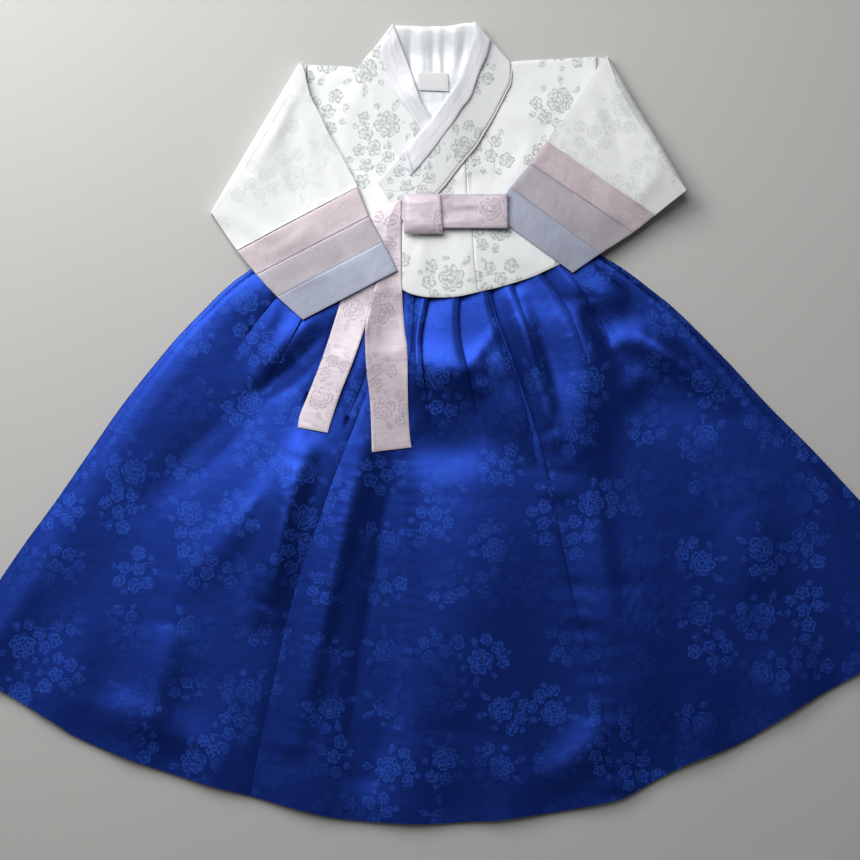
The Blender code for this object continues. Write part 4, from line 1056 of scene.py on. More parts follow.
def sew(name, inner, outer, cloth=None, finish=None):
    """Makes one closed piece of cloth between its inner and outer side, named after the part that it stands for,
    and hides that part.
    """
    rows, columns = inner.shape[:2]
    if cloth is None:
        cloth = inner[..., :2]
    cloth = (cloth * MM).reshape(-1, 2)
    sides = ((np.array((inner, outer)) + TO_MIDDLE) * MM).reshape(2, -1, 3)
    shape = bmesh.new()
    bmesh.ops.create_grid(shape, x_segments=columns - 1, y_segments=rows - 1, size=1.0)
    shape.verts.ensure_lookup_table()
    place = shape.verts.layers.int.new("place")
    for index, vertex in enumerate(shape.verts):
        vertex[place] = index
    made = bmesh.ops.extrude_face_region(shape, geom=shape.faces[:], use_keep_orig=True)
    far = {item for item in made["geom"] if isinstance(item, bmesh.types.BMVert)}
    for vertex in shape.verts:
        vertex.co = sides[1 if vertex in far else 0][vertex[place]]
    bmesh.ops.recalc_face_normals(shape, faces=shape.faces[:])
    if shape.calc_volume(signed=True) < 0:
        bmesh.ops.reverse_faces(shape, faces=shape.faces[:])
    weave = shape.loops.layers.uv.new("cloth")
    share = shape.loops.layers.uv.new("share")
    for face in shape.faces:
        face.smooth = True
        for loop in face.loops:
            index = loop.vert[place]
            loop[weave].uv = cloth[index]
            loop[share].uv = (index % columns / (columns - 1), index // columns / (rows - 1))
    mesh = bpy.data.meshes.new(name)
    shape.to_mesh(mesh)
    shape.free()
    mesh.set_sharp_from_angle(angle=math.radians(60))
    slot = SLOT_OF[name]
    mesh.materials.append(FINISHES[finish or slot])
    piece = bpy.data.objects.new(name + "_cloth", mesh)
    bpy.context.scene.collection.objects.link(piece)
    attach(piece, "root")
    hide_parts(name)


def thicken(pile, name, inner, wall, cloth=None, finish=None, rounding=SEAM_ROUNDING):
    """Gives a piece its wall over its inner side, adds it to the pile and sews it."""
    outer = outer_side(inner, rounded_wall(inner, wall, rounding))
    pile.cover(outer)
    sew(name, inner, outer, cloth, finish)


def lay(pile, name, plan, wall, rounds, extra=0.0, creases=(), **looks):
    """Lays a piece on the pile as one wall. Looks are its cloth coordinates, its finish and its rounding."""
    height = draped(pile.rest(plan) + LAYER_GAP, rounds) + extra
    height = height + np.maximum(fold_height(plan, creases), DEEPEST_CREASE)
    thicken(pile, name, with_height(plan, height), wall, **looks)


def split(inner, outer, column):
    """Cuts a wall in two at a column and opens the seam gap there."""
    left = [side[:, :column + 1].copy() for side in (inner, outer)]
    right = [side[:, column:].copy() for side in (inner, outer)]
    for side in left:
        side[:, -1, 0] -= SEAM_GAP / 2
    for side in right:
        side[:, 0, 0] += SEAM_GAP / 2
    return left, right


# Skirt


def inset(points, sign):
    """A side line of the skirt, moved in to where its cloth starts to turn."""
    line = Line(points)
    shares = np.linspace(0.0, 1.0, 28)
    ways = line.heading(shares)
    outward = sign * np.stack([-ways[:, 1], ways[:, 0]], axis=-1)
    return Line(line.at(shares) - outward * (SIDE_FOLD_RADIUS + SKIRT_WALL)), outward, shares


class SkirtPlan:
    """The three front widths of the skirt, in plan, as one place across and one share down."""

    def __init__(self):
        side_left, self.out_left, self.out_shares = inset(SIDE_LEFT, -1)
        side_right, self.out_right, _ = inset(SIDE_RIGHT, 1)
        left_foot = tuple(side_left.at(1.0))
        right_foot = tuple(side_right.at(1.0))
        seams = [side_left, Line(SEAM_LEFT), Line(SEAM_RIGHT), side_right]
        hems = [Line([left_foot, *HEM_LEFT[1:]]), Line(HEM_CENTRE), Line([*HEM_RIGHT[:-1], right_foot])]
        self.widths = []
        for left, right, hem in zip(seams, seams[1:], hems):
            waist = Line([tuple(left.at(0.0)), tuple(right.at(0.0))], straight=True)
            self.widths.append((left, right, waist, hem))

    def at(self, place, down):
        """Plan points of one column at a place from 0 to 3."""
        width = min(int(place), 2)
        return patch(*self.widths[width], [place - width], down)[:, 0]

    def outward(self, sign, down):
        """The outward direction at a side fold."""
        ways = self.out_left if sign < 0 else self.out_right
        return np.stack([np.interp(down, self.out_shares, ways[:, k]) for k in (0, 1)], axis=-1)


def pleat_strength(pleat, down):
    """How much of a pleat is left at a share of the skirt's length."""
    return 1.0 - smooth((down - pleat.reach) / PLEAT_FADE)


def pleat_lean(pleat, down):
    """How far a pleat's edge has drifted sideways, which dies out below it."""
    return pleat.lean * smooth(down / pleat.reach) * (1.0 - smooth((down - pleat.reach) / LEAN_FADE))


def front_columns():
    """Each column of the skirt front: its place, its share between two pleats, its rise, and those pleats."""
    rise_line = Line(PLEAT_RISE)
    found = [(SIDE_INSET, 0.5, 0.0, None, None, 0)]
    edges = [None, *PLEATS, None]
    for number, (before, after) in enumerate(zip(edges, edges[1:])):
        start = before.place if before else 0.0
        end = after.place if after else 3.0
        steps = np.linspace(0.0, 1.0, PLEAT_STEPS)
        seam = round(start) if int(start) != int(end) and before else None
        if seam:
            at_seam = (seam - start) / (end - start)
            steps = np.unique(np.append(steps[abs(steps - at_seam) > SEAM_CLEAR], at_seam))
        if before is None:
            steps = steps[1:]
        if after is None:
            steps = steps[:-1]
        for step in steps:
            rise = np.interp(step, rise_line.points[:, 0], rise_line.points[:, 1])
            found.append((start + (end - start) * step, step, rise, before, after, number))
    found.append((3 - SIDE_INSET, 0.5, 0.0, None, None, len(PLEATS)))
    return found


def puckers(points, seam_lines, down):
    """The lift of the small uneven waves where thread draws the cloth up along a seam."""
    total = np.zeros(len(down))
    along = points[:, 1] / PUCKER_LENGTH
    wave = np.sin(2 * math.pi * (along + 0.35 * np.sin(along * 1.7))) + 0.6 * np.sin(9.1 * along + 1.0)
    wave *= 0.55 + 0.45 * np.sin(along * 1.9)
    for seam, lift in zip(seam_lines, PUCKERS):
        total += lift * wave * np.exp(-((points[:, 0] - seam) / PUCKER_REACH) ** 2)
    return total * smooth((down - PUCKERS_FROM) / PUCKERS_RISE)


def edge_roll(away, height, rise, fall):
    """The soft roll of cloth beside a side fold, which sinks again towards the middle."""
    return height * smooth(away / rise) * (1 - smooth((away - rise) / fall))


def skirt_front(plan, down):
    """Inner side and cloth coordinates of the whole skirt front, with the columns of its seams."""
    left_edge, right_edge = plan.at(0.0, down)[:, 0], plan.at(3.0, down)[:, 0]
    seam_lines = [plan.at(seam, down)[:, 0] for seam in (1.0, 2.0)]
    columns, cloths, seams = [], [], []
    for place, share, rise, before, after, number in front_columns():
        if abs(place - round(place)) < 1e-4 and 0 < round(place) < 3:
            seams.append(len(columns))
            place = float(round(place))
        points = plan.at(place, down)
        height = np.zeros(len(down))
        shift = np.zeros(len(down))
        for pleat, part in ((before, 1 - share), (after, share)):
            if pleat is not None:
                points[:, 0] += part * pleat_lean(pleat, down)
                shift += part * pleat_strength(pleat, down)
        if before is not None and share == 0.0:
            strength = pleat_strength(before, down)
            points[:, 0] += FADED_SPACING - (FADED_SPACING + BASE_UNDERCUT) * strength
        if after is not None:
            height += rise * after.depth * pleat_strength(after, down)
            if share == 1.0:
                points[:, 0] -= FADED_SPACING - (FADED_SPACING + LIP_OVERHANG) * pleat_strength(after, down)
        from_side = min(place, 3 - place)
        from_left, from_right = points[:, 0] - left_edge, right_edge - points[:, 0]
        crown = smooth((from_left - LEFT_FLAT) / LEFT_ROUNDING)
        crown *= smooth((from_right - RIGHT_FLAT) / RIGHT_ROUNDING)
        roll = edge_roll(from_left, LEFT_ROLL, LEFT_ROLL_RISE, LEFT_ROLL_FALL)
        roll += edge_roll(from_right, RIGHT_ROLL, RIGHT_ROLL_RISE, RIGHT_ROLL_FALL)
        clear = smooth(np.minimum(from_left, from_right) / FOLD_CLEAR)
        sunk = PUFF_LOST * smooth((down - PUFF_FALL_FROM) / PUFF_FALL)
        swell = FRONT_PUFF * smooth(down / PUFF_RISE) * (1 - sunk)
        folds = fold_height(points, SKIRT_FOLDS) * smooth(down / FOLDS_FROM_WAIST)
        folds *= smooth((1 - down) / FOLDS_FROM_HEM)
        wave = HEM_WAVE * (1 + np.sin(place / 3 * HEM_WAVES * 2 * math.pi)) * late(down, HEM_WAVE_FROM)
        roll *= smooth(down / ROLL_FROM_WAIST)
        height += np.maximum(crown * swell + clear * (wave + folds + BASE_PUFF) + roll, 0.0)
        height += puckers(points, seam_lines, down)
        edge = SKIRT_WALL + 2 * SIDE_FOLD_RADIUS
        base = edge + (FRONT_CLEARANCE - edge) * smooth(from_side / SIDE_RISE)
        columns.append(column_at(points, base + height))
        side = 1 if number % 2 else -1
        cloths.append(points + np.stack([side * PLEAT_CLOTH_SHIFT * shift, 0 * shift], axis=-1))
    return np.stack(columns, axis=1), np.stack(cloths, axis=1), seams


def side_turn(plan, sign, down):
    """Inner side of a side width behind the skirt: along the table to the side fold, then round it."""
    edge_place = 0.0 if sign < 0 else 3.0
    columns = []
    for share in BACK_TURN_SHARES:
        place = edge_place - sign * BACK_TURN * share
        columns.append(column_at(plan.at(place, down * BACK_HEM_SHORTER), SKIRT_WALL))
    for turn in np.radians(np.linspace(-90, 90, 9)):
        lift = (turn / math.pi + 0.5) * (1 - BACK_HEM_SHORTER)
        points = plan.at(edge_place, down * (BACK_HEM_SHORTER + lift))
        points = points + plan.outward(sign, down) * SIDE_FOLD_RADIUS * math.cos(turn)
        columns.append(column_at(points, SKIRT_WALL + SIDE_FOLD_RADIUS * (1 + math.sin(turn))))
    return np.stack(columns, axis=1)


def make_skirt(pile):
    """The skirt's widths and its band."""
    plan = SkirtPlan()
    down = np.linspace(0.0, 1.0, SKIRT_ROWS)
    front, cloth, seams = skirt_front(plan, down)
    outer = outer_side(front, SKIRT_WALL)
    for seam in seams:
        dip = np.exp(-(np.arange(front.shape[1]) - seam) ** 2 / SEAM_DIP_SPREAD)
        outer[..., 2] -= SEAM_DIP * dip
    left, rest = split(front, outer, seams[0])
    centre, right = split(*rest, seams[1] - seams[0])
    flat = len(BACK_TURN_SHARES)
    sides = (("left", -1, left, cloth[:, :seams[0] + 1]), ("right", 1, right, cloth[:, seams[1]:]))
    for name, sign, (inner, upper), weave in sides:
        turn = side_turn(plan, sign, down)
        weave = weave + PATTERN_SHIFT[f"skirt_side_{name}"]
        if sign > 0:
            inner, upper, weave = inner[:, ::-1], upper[:, ::-1], weave[:, ::-1]
        whole = np.concatenate([turn, inner], axis=1)
        whole_outer = outer_side(whole, SKIRT_WALL)
        whole_outer[:, -SEAM_COLUMNS:] = upper[:, -SEAM_COLUMNS:]
        whole_outer[..., 2] = np.maximum(whole_outer[..., 2], 0.0)
        whole_outer[:, :flat, 2] = 0.0
        whole_cloth = np.concatenate([turn[..., :2] + weave[:, :1] - turn[:, -1:, :2], weave], axis=1)
        sew(f"skirt_side_{name}", whole, whole_outer, whole_cloth)
        pile.cover(whole_outer[:, flat:])
    sew("skirt_front_centre", *centre, cloth[:, seams[0]:seams[1] + 1])
    pile.cover(outer)
    make_skirt_backs(plan)
    make_waistband(pile)


def make_skirt_backs(plan):
    """The two back widths, which lie on the table and overlap at the centre back."""
    down = np.linspace(0.0, 1.0, SKIRT_ROWS)
    lengths = down * BACK_HEM_SHORTER
    middle = plan.at(1.5, lengths)[:, 0]
    half_wrap = BACK_WRAP * (0.4 + 0.6 * down)
    places = np.linspace(BACK_TURN, 3 - BACK_TURN, 25)
    net = np.stack([plan.at(place, lengths) for place in places], axis=1)
    left_edge = net[:, 0, 0] + SEAM_GAP
    right_edge = net[:, -1, 0] - SEAM_GAP
    lift = SKIRT_WALL + LAYER_GAP
    left_columns = (
        (left_edge, 0.0), (left_edge * 0.66 + middle * 0.34, 0.0), (left_edge * 0.33 + middle * 0.67, 0.0),
        (middle + half_wrap, 0.0),
    )
    right_columns = (
        (middle - half_wrap, lift), (middle + half_wrap + BACK_STEP, lift),
        (middle + half_wrap + BACK_SLOPE, 0.0),
        (right_edge * 0.5 + middle * 0.5, 0.0), (right_edge, 0.0),
    )
    for name, columns in (("left", left_columns), ("right", right_columns)):
        x = np.stack([column for column, _ in columns], axis=1)
        y = np.stack([np.interp(places_x, row[:, 0], row[:, 1]) for places_x, row in zip(x, net)])
        height = np.broadcast_to([rise for _, rise in columns], x.shape)
        inner = np.stack([x, y, height], axis=-1)
        outer = inner + np.array((0.0, 0.0, SKIRT_WALL))
        sew(f"skirt_back_{name}", inner, outer)


def make_waistband(pile):
    """The plain band above the pleats."""
    left, right = WAIST_LEFT[0] + 4.0, WAIST_RIGHT[0] - 4.0
    across = np.linspace(0.0, 1.0, 33)
    low_line = Line([WAIST_LEFT, WAIST_SEAM_LEFT, WAIST_SEAM_RIGHT, WAIST_RIGHT], straight=True)
    x = left + (right - left) * across
    y = np.interp(x, low_line.points[:, 0], low_line.points[:, 1])
    plan = np.array([np.stack([x, y + lift], axis=-1) for lift in BAND_LIFTS])
    inner = with_height(plan, 0.0)
    outer = with_height(plan, rounded_wall(inner, BAND_WALL, WAISTBAND_ROUNDING))
    pile.cover(outer)
    sew("skirt_waistband", inner, outer)


# Jacket


def make_jacket_back(pile):
    """The hidden back body and the back of the collar."""
    left, right = Line(BACK_LEFT, straight=True), Line(BACK_RIGHT, straight=True)
    plan = patch(left, right, Line(BACK_TOP), Line(BACK_HEM), edged(48), edged(40))
    lay(pile, "jacket_back", plan, JACKET_WALL, rounds=40)
    left, right = Line(BACK_COLLAR_LEFT), Line(BACK_COLLAR_RIGHT)
    plan = patch(left, right, Line(BACK_COLLAR_TOP), Line(BACK_COLLAR_LOW), edged(28), edged(14))
    lay(pile, "collar_back", plan, JACKET_WALL, rounds=4)


def make_neck(pile):
    """The lining that shows in the neck opening, and its label."""
    across, down = edged(44), edged(48)
    plan = patch(Line(LINING_LEFT), Line(LINING_RIGHT), Line(LINING_TOP), Line(LINING_BOTTOM), across, down)
    rise = NECK_RISE * (1 - smooth(down / NECK_RISE_LENGTH))[:, None]
    folds = np.maximum(fold_height(plan, LINING_FOLDS) + 3.0, 0.0)
    lay(pile, "back_lining", plan, LINING_WALL, extra=rise + folds, rounds=30)
    top_left, top_right, low_left, low_right = LABEL_CORNERS
    plan = patch(
        Line([top_left, low_left], straight=True), Line([top_right, low_right], straight=True),
        Line([top_left, top_right], straight=True), Line([low_left, low_right], straight=True),
        edged(16), edged(10),
    )
    lay(pile, "neck_label", plan, LABEL_WALL, rounds=30, extra=LABEL_LIFT)


def make_fronts_inner(pile):
    """The wearer's right front with its overlap panel, its collar and its strip."""
    down = edged(60)
    hem = Line([point for point in FRONT_HEM if point[0] < -25] + INNER_EDGE[-1:])
    left = Line(ARMHOLE_LEFT + FRONT_HEM[:1])
    body = patch(left, Line(INNER_EDGE), Line(INNER_TOP), hem, edged(40), down)
    corner = Line(INNER_FLAP_CORNER, straight=True)
    flap = patch(Line(INNER_EDGE), Line(INNER_FLAP_EDGE), corner, Line(INNER_FLAP_HEM), edged(16), down)
    first = len(down) // 2
    body_inner = with_height(body, draped(pile.rest(body) + LAYER_GAP, 30) + creased(body))
    flap_inner = with_height(flap, draped(pile.rest(flap) + LAYER_GAP, 30))[first:]
    flap_inner[:, 0, 0] += INNER_FLAP_GAP
    thicken(pile, "jacket_front_right", body_inner, JACKET_WALL)
    thicken(pile, "overlap_panel_inner", flap_inner, JACKET_WALL)
    rows = edged(60)
    inside, outside = Line(COLLAR_INNER_INSIDE), Line(COLLAR_INNER_OUTSIDE)
    collar = ruled(inside.at(rows), outside.at(rows), 1 - edged(16))
    lay(pile, "collar_inner", collar, COLLAR_WALL, rounds=60, finish="collar_brocade", rounding=COLLAR_ROUNDING)
    make_strip(pile, "inner", inside, STRIP_INNER_OUTSIDE, STRIP_INNER_LENGTH, -1)


def creased(plan):
    """The lift of the jacket's own creases."""
    return np.maximum(fold_height(plan, JACKET_CREASES), DEEPEST_JACKET_CREASE)


def along_cloth(points):
    """Cloth coordinates of a long narrow piece: across it, and along it."""
    across = np.linalg.norm(np.diff(points, axis=1), axis=-1)
    down = np.linalg.norm(np.diff(points, axis=0), axis=-1).mean(axis=1)
    u = np.concatenate([np.zeros((len(points), 1)), np.cumsum(across, axis=1)], axis=1)
    v = np.concatenate([[0.0], np.cumsum(down)])
    return np.stack([u, np.broadcast_to(v[:, None], u.shape)], axis=-1)


def make_strip(pile, name, inside, outside_points, length, side):
    """The smooth strip that lies on a collar band along its neck edge."""
    rows = edged(50)
    edge = inside.at(rows * length)
    edge[:, 0] += side * STRIP_OVERLAP
    shares = edged(9) if side > 0 else 1 - edged(9)
    plan = ruled(edge, Line(outside_points).at(rows), shares)
    # The outer strip takes the collar satin darkened as painted shade
    lay(pile, f"collar_strip_{name}", plan, STRIP_WALL, rounds=60, cloth=along_cloth(plan),
        rounding=BAND_ROUNDING, finish="collar_strip" if side < 0 else "strip_away")


def make_fronts_outer(pile):
    """The wearer's left front with its overlap panel."""
    down = edged(56)
    seam = Line(OVERLAP_SEAM)
    hem_left = Line([point for point in FRONT_HEM if -43 < point[0] < 72] + OVERLAP_SEAM[-1:])
    hem_right = Line(OVERLAP_SEAM[-1:] + [point for point in FRONT_HEM if point[0] > 76])
    edge, top = Line(OVERLAP_EDGE, straight=True), Line(NECK_TO_OVERLAP, straight=True)
    overlap = patch(edge, seam, top, hem_left, edged(24), down)
    right = Line(ARMHOLE_RIGHT + FRONT_HEM[-1:])
    body = patch(seam, right, Line(OUTER_TOP), hem_right, edged(40), down)
    plan = np.concatenate([overlap, body[:, 1:]], axis=1)
    inner = with_height(plan, draped(pile.rest(plan) + LAYER_GAP, 36) + creased(plan))
    walls = np.concatenate([rounded_wall(inner[:, :overlap.shape[1]], JACKET_WALL),
                            rounded_wall(inner[:, overlap.shape[1] - 1:], JACKET_WALL)[:, 1:]], axis=1)
    outer = outer_side(inner, walls)
    pile.cover(outer)
    panel, front = split(inner, outer, overlap.shape[1] - 1)
    for name, sides in (("overlap_panel_outer", panel), ("jacket_front_left", front)):
        sew(name, *sides, sides[0][..., :2] + PATTERN_SHIFT[name])


def make_collar_outer(pile):
    """The outer collar with its edging and its strip."""
    rows = edged(64)
    inside, outside = Line(COLLAR_OUTER_INSIDE), Line(COLLAR_OUTER_OUTSIDE)
    start, end = inside.at(rows), outside.at(rows)
    beyond = end + unit(end - start) * COLLAR_PIPING_WIDTH
    band_shares = edged(18)
    piping_shares = np.linspace(0, 1, COLLAR_PIPING_STEPS)
    plan = np.concatenate([ruled(start, end, band_shares), ruled(end, beyond, piping_shares)[:, 1:]], axis=1)
    inner = with_height(plan, draped(pile.rest(plan) + LAYER_GAP, 60))
    last = len(band_shares) - 1
    round_edge = np.sin(np.linspace(COLLAR_PIPING_EDGE, math.pi - COLLAR_PIPING_EDGE, COLLAR_PIPING_STEPS))[1:]
    walls = np.concatenate([
        rounded_wall(inner[:, :last + 1], COLLAR_WALL, COLLAR_ROUNDING),
        np.broadcast_to(COLLAR_WALL * round_edge, (len(rows), len(round_edge))),
    ], axis=1)
    outer = outer_side(inner, walls)
    pile.cover(outer)
    band, piping = split(inner, outer, last)
    first = int(len(rows) * COLLAR_PIPING_SHORTER)
    piping = [side[first:-first] for side in piping]
    # The outer collar takes the brocade darkened as painted shade
    sew("collar_outer", *band, band[0][..., :2] + PATTERN_SHIFT["collar_outer"], "collar_away")
    sew("collar_piping", *piping, along_cloth(piping[0][..., :2]))
    make_strip(pile, "outer", inside, STRIP_OUTER_OUTSIDE, STRIP_OUTER_LENGTH, 1)


# Sleeves


def sleeve_rows(sleeve):
    """Edge points of a sleeve's flap from crease to cuff, with the rows at which its bands begin."""
    top, under = Line(sleeve.top_edge), Line(sleeve.under_edge)
    top_marks = [0.0, *(top.share_near(mark) for mark in sleeve.top_marks), 1.0]
    under_marks = [0.0, *(under.share_near(mark) for mark in sleeve.under_marks), 1.0]
    steps = (edged(34), *[edged(9, NARROW_ENDS)] * len(CUFF_NAMES))
    top_shares, under_shares, marks = [0.0], [0.0], [0]
    for shares, a, b, c, d in zip(steps, top_marks, top_marks[1:], under_marks, under_marks[1:]):
        for step in shares[1:]:
            top_shares.append(a + (b - a) * step)
            under_shares.append(c + (d - c) * step)
        marks.append(marks[-1] + len(shares) - 1)
    return top.at(top_shares), under.at(under_shares), marks


def flap_height(pile, plan, from_crease, near_crease):
    """How high a folded sleeve lies: raised along its crease, sinking to what it lies on, and creased."""
    lowest = SLEEVE_WALL + LAYER_GAP
    fallen = lowest + (near_crease - lowest) * (1 - smooth(from_crease / SLEEVE_FALL))
    height = draped(np.maximum(pile.rest(plan) + LAYER_GAP, fallen), SLEEVE_TAUT)
    creases = fold_height(plan, SLEEVE_CREASES + CUFF_CREASES)
    height = height + creases * smooth(from_crease / SLEEVE_CREASES_FROM)
    height[0] = near_crease
    return height


def make_sleeve(pile, sleeve):
    """A sleeve folded at its crease: hidden lower layer, the white flap over it, and three cuff bands."""
    across = edged(40)
    top, under, marks = sleeve_rows(sleeve)
    plan = ruled(top, under, across)
    crease = Line(sleeve.crease, straight=True).at(across)
    way = unit(crease[-1] - crease[0])
    outward = np.array((way[1], -way[0])) * (1 if sleeve.side == "left" else -1)
    radius = SLEEVE_LEAST_RADIUS + sleeve.puff * np.sin(math.pi * across ** 0.8) ** 0.7
    fullness = np.sin(math.pi * np.clip(across, 0.02, 0.98)) ** 0.4
    wall = SLEEVE_WALL * (SLEEVE_THIN + (1 - SLEEVE_THIN) * fullness)
    centre = crease - outward * (radius + wall)[:, None]

    from_crease = np.linalg.norm(plan - crease[None], axis=-1)
    plan = plan + (centre - crease)[None] * (1 - smooth(from_crease / SLEEVE_TURN_BLEND))[..., None]
    raised = sleeve.raised * smooth((across - 0.3) / 0.6)
    height = flap_height(pile, plan, from_crease, wall + 2 * radius + raised)

    armhole = Line(sleeve.armhole, straight=True).at(across)
    columns = [column_at(armhole + (centre - armhole) * share, wall + raised * smooth(share / 0.9))
               for share in LOWER_LAYER_SHARES]
    columns += rolled(centre, outward, radius, wall + raised, np.linspace(-90, 90, 11))
    columns += [column_at(plan[row], height[row]) for row in range(1, marks[1] + 1)]
    inner = np.stack(columns, axis=1)
    outer = outer_side(inner, wall[:, None] * rounded_wall(inner, 1.0, SLEEVE_ROUNDING))
    flat = slice(len(LOWER_LAYER_SHARES) + 1)
    outer[:, flat, 2] = inner[:, flat, 2] - wall[:, None]
    outer[..., 2] = np.maximum(outer[..., 2], 0.0)
    toward = unit(plan[marks[1]] - plan[marks[1] - 1])
    for side in (inner, outer):
        side[:, -1, :2] -= toward * SEAM_GAP / 2
    angle = math.radians(WEAVE_TURN[sleeve.side])
    turned = np.array(((math.cos(angle), -math.sin(angle)), (math.sin(angle), math.cos(angle))))
    # The right sleeve takes the brocade darkened as painted shade
    finish = "sleeve_brocade" if sleeve.side == "left" else "sleeve_away"
    sew(f"sleeve_{sleeve.side}", inner, outer, inner[..., :2] @ turned, finish)
    pile.cover(outer[:, SLEEVE_HIDDEN:])
    for index, colour in enumerate(CUFF_NAMES):
        rows = slice(marks[index + 1], marks[index + 2] + 1)
        make_cuff(pile, f"cuff_{colour}_{sleeve.side}", across, plan[rows], height[rows])


def make_cuff(pile, name, across, plan, height):
    """One cuff band: cloth folded at the sleeve's upper edge and joined along its under edge."""
    plan = plan.copy()
    toward = unit(plan[-1] - plan[0])
    plan[0] += toward * SEAM_GAP / 2
    plan[-1] -= toward * SEAM_GAP / 2
    edge_way = unit(plan[:, 0] - plan[:, 1])
    radius = CUFF_HOLLOW / 2
    hollow = CUFF_HOLLOW * (1 - smooth((across - 0.6) / 0.4)) + SEAM_GAP
    start = plan[:, 0] - edge_way * (radius + CUFF_WALL)
    from_fold = np.linalg.norm(plan[0] - plan[0, 0], axis=-1)
    kept = np.flatnonzero(from_fold > CUFF_JOIN)
    base = height + CUFF_WALL
    columns = [column_at(plan[:, column], base[:, column]) for column in kept[::-1]]
    columns += rolled(start, edge_way, radius, base[:, 0], np.linspace(-90, 90, 9))
    columns += [column_at(plan[:, column], base[:, column] + hollow[column]) for column in kept]
    inner = np.stack(columns, axis=1)
    outer = outer_side(inner, rounded_wall(inner, CUFF_WALL, BAND_ROUNDING))
    if "pink" in name:
        outer[-1, :, 2] -= CUFF_TUCK
    pile.cover(outer)
    band, side = name.rsplit("_", 1)
    # The right cuffs take the band satins darkened as painted shade
    sew(name, inner, outer, along_cloth(inner[..., :2]), band if side == "left" else band + "_away")


# Ribbon tie


def make_tails(pile):
    """The two hanging ends of the ribbon, the long one over the short one."""
    rows = edged(90)
    # The short end takes the ribbon satin lightened as painted light
    for name, left, right, finish in (("short", TAIL_SHORT_LEFT, TAIL_SHORT_RIGHT, "ribbon_lit"),
                                      ("long", TAIL_LONG_LEFT, TAIL_LONG_RIGHT, "ribbon_satin")):
        plan = ruled(Line(left).at(rows), Line(right).at(rows), edged(14, NARROW_ENDS))
        lay(pile, f"ribbon_tail_{name}", plan, RIBBON_WALL, rounds=40, cloth=along_cloth(plan),
            creases=RIBBON_CREASES, finish=finish)


def make_loop(pile):
    """The ribbon's loop, folded at its right end."""
    across = edged(36)
    down = edged(20, NARROW_ENDS)
    turn_x = LOOP_RIGHT - LOOP_FOLD_RADIUS - RIBBON_WALL
    x = LOOP_LEFT + (turn_x - LOOP_LEFT) * across
    y = LOOP_TOP + (LOOP_BOTTOM - LOOP_TOP) * down
    plan = np.stack(np.meshgrid(x, y), axis=-1)
    height = draped(pile.rest(plan) + LAYER_GAP, 60) + RIBBON_WALL
    creases = fold_height(plan, RIBBON_CREASES)
    columns = [column_at(plan[:, j], height[:, j]) for j in range(len(x))]
    rightward, angles = np.array((1.0, 0.0)), np.linspace(-70, 70, 9)
    columns += rolled(plan[:, -1], rightward, LOOP_FOLD_RADIUS, height[:, -1], angles)
    crown = LOOP_TILT * (1 - across) + LOOP_CROWN * np.sin(math.pi * across) + 2 * LOOP_FOLD_RADIUS
    upper = height + crown + creases
    columns += [column_at(plan[:, j], upper[:, j]) for j in reversed(range(len(x)))]
    inner = np.stack(columns, axis=1)
    cloth = along_cloth(inner[..., :2])[..., ::-1]
    # The loop takes the ribbon satin darkened as painted shade
    thicken(pile, "ribbon_loop", inner, RIBBON_WALL, cloth, "ribbon_shaded")


def make_knot(pile):
    """The knot, one wrap over the start of the loop and of the hanging ends."""
    down = edged(30)
    across = edged(24, NARROW_ENDS)
    x = KNOT_LEFT + (KNOT_RIGHT - KNOT_LEFT) * across[None, :] + KNOT_SLANT * (down[:, None] - 0.5)
    y = np.broadcast_to((KNOT_TOP + (KNOT_BOTTOM - KNOT_TOP) * down)[:, None], x.shape)
    plan = np.stack([x, y], axis=-1)
    arch = KNOT_CROWN * np.sin(math.pi * down) ** 0.5
    lay(pile, "ribbon_knot", plan, RIBBON_WALL, rounds=60, extra=arch[:, None], creases=RIBBON_CREASES)


# Floor, light and camera


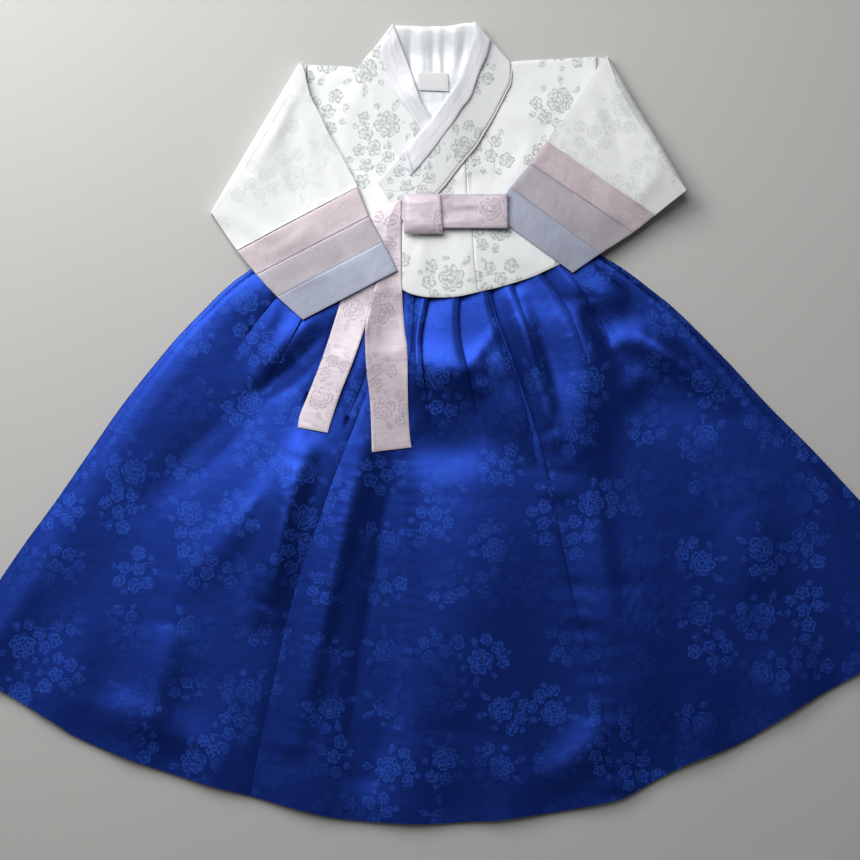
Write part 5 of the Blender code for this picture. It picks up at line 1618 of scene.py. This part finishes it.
def make_floor():
    """A wide pale floor just under the cloth."""
    shape = bmesh.new()
    bmesh.ops.create_grid(shape, x_segments=1, y_segments=1, size=20.0)
    for vertex in shape.verts:
        vertex.co.z = FLOOR_LEVEL
    mesh = bpy.data.meshes.new("floor")
    shape.to_mesh(mesh)
    shape.free()
    paint = Paint("pale grey floor")
    place = paint.node("ShaderNodeTexCoord", {}).outputs["Object"]
    cloud = paint.noise(place, 0.5)
    grain = paint.noise(place, 0.004)
    colour = paint.blend(cloud * 0.6 + grain * 0.4, (0.52, 0.515, 0.50), (0.56, 0.555, 0.54))
    mesh.materials.append(paint.finish(colour, 0.75))
    floor = bpy.data.objects.new("floor", mesh)
    bpy.context.scene.collection.objects.link(floor)


def aim_light(name, place, size, energy, colour):
    """A soft rectangular light that faces the skirt's middle."""
    light = bpy.data.lights.new(name, "AREA")
    light.shape = "RECTANGLE"
    light.size, light.size_y = size
    light.energy = energy
    light.color = colour
    lamp = bpy.data.objects.new(name, light)
    lamp.location = place
    lamp.rotation_euler = (-lamp.location).to_track_quat("-Z", "Y").to_euler()
    bpy.context.scene.collection.objects.link(lamp)


def make_light():
    """A window at the upper left, low pale walls all round, and a dim ceiling."""
    for name, lamp in LAMPS.items():
        aim_light(name, *lamp)
    world = bpy.data.worlds.new("room")
    world.use_nodes = True
    background = world.node_tree.nodes["Background"]
    background.inputs["Color"].default_value = CEILING
    background.inputs["Strength"].default_value = CEILING_STRENGTH
    bpy.context.scene.world = world


def make_camera():
    """A camera straight above."""
    lens = bpy.data.cameras.new("camera")
    lens.lens = CAMERA_LENS
    lens.sensor_width = CAMERA_SENSOR
    camera = bpy.data.objects.new("camera", lens)
    distance = CAMERA_LENS / CAMERA_SENSOR * VIEW_WIDTH
    camera.location = (TO_MIDDLE[0] * MM, TO_MIDDLE[1] * MM, VIEW_PLANE + distance)
    bpy.context.scene.collection.objects.link(camera)
    bpy.context.scene.camera = camera


make_camera()
make_light()
make_floor()
bpy.context.scene.view_settings.view_transform = "Standard"

stack = Pile()
make_skirt(stack)
make_jacket_back(stack)
make_neck(stack)
make_fronts_inner(stack)
make_fronts_outer(stack)
make_collar_outer(stack)
make_tails(stack)
for one in SLEEVES:
    make_sleeve(stack, one)
make_loop(stack)
make_knot(stack)
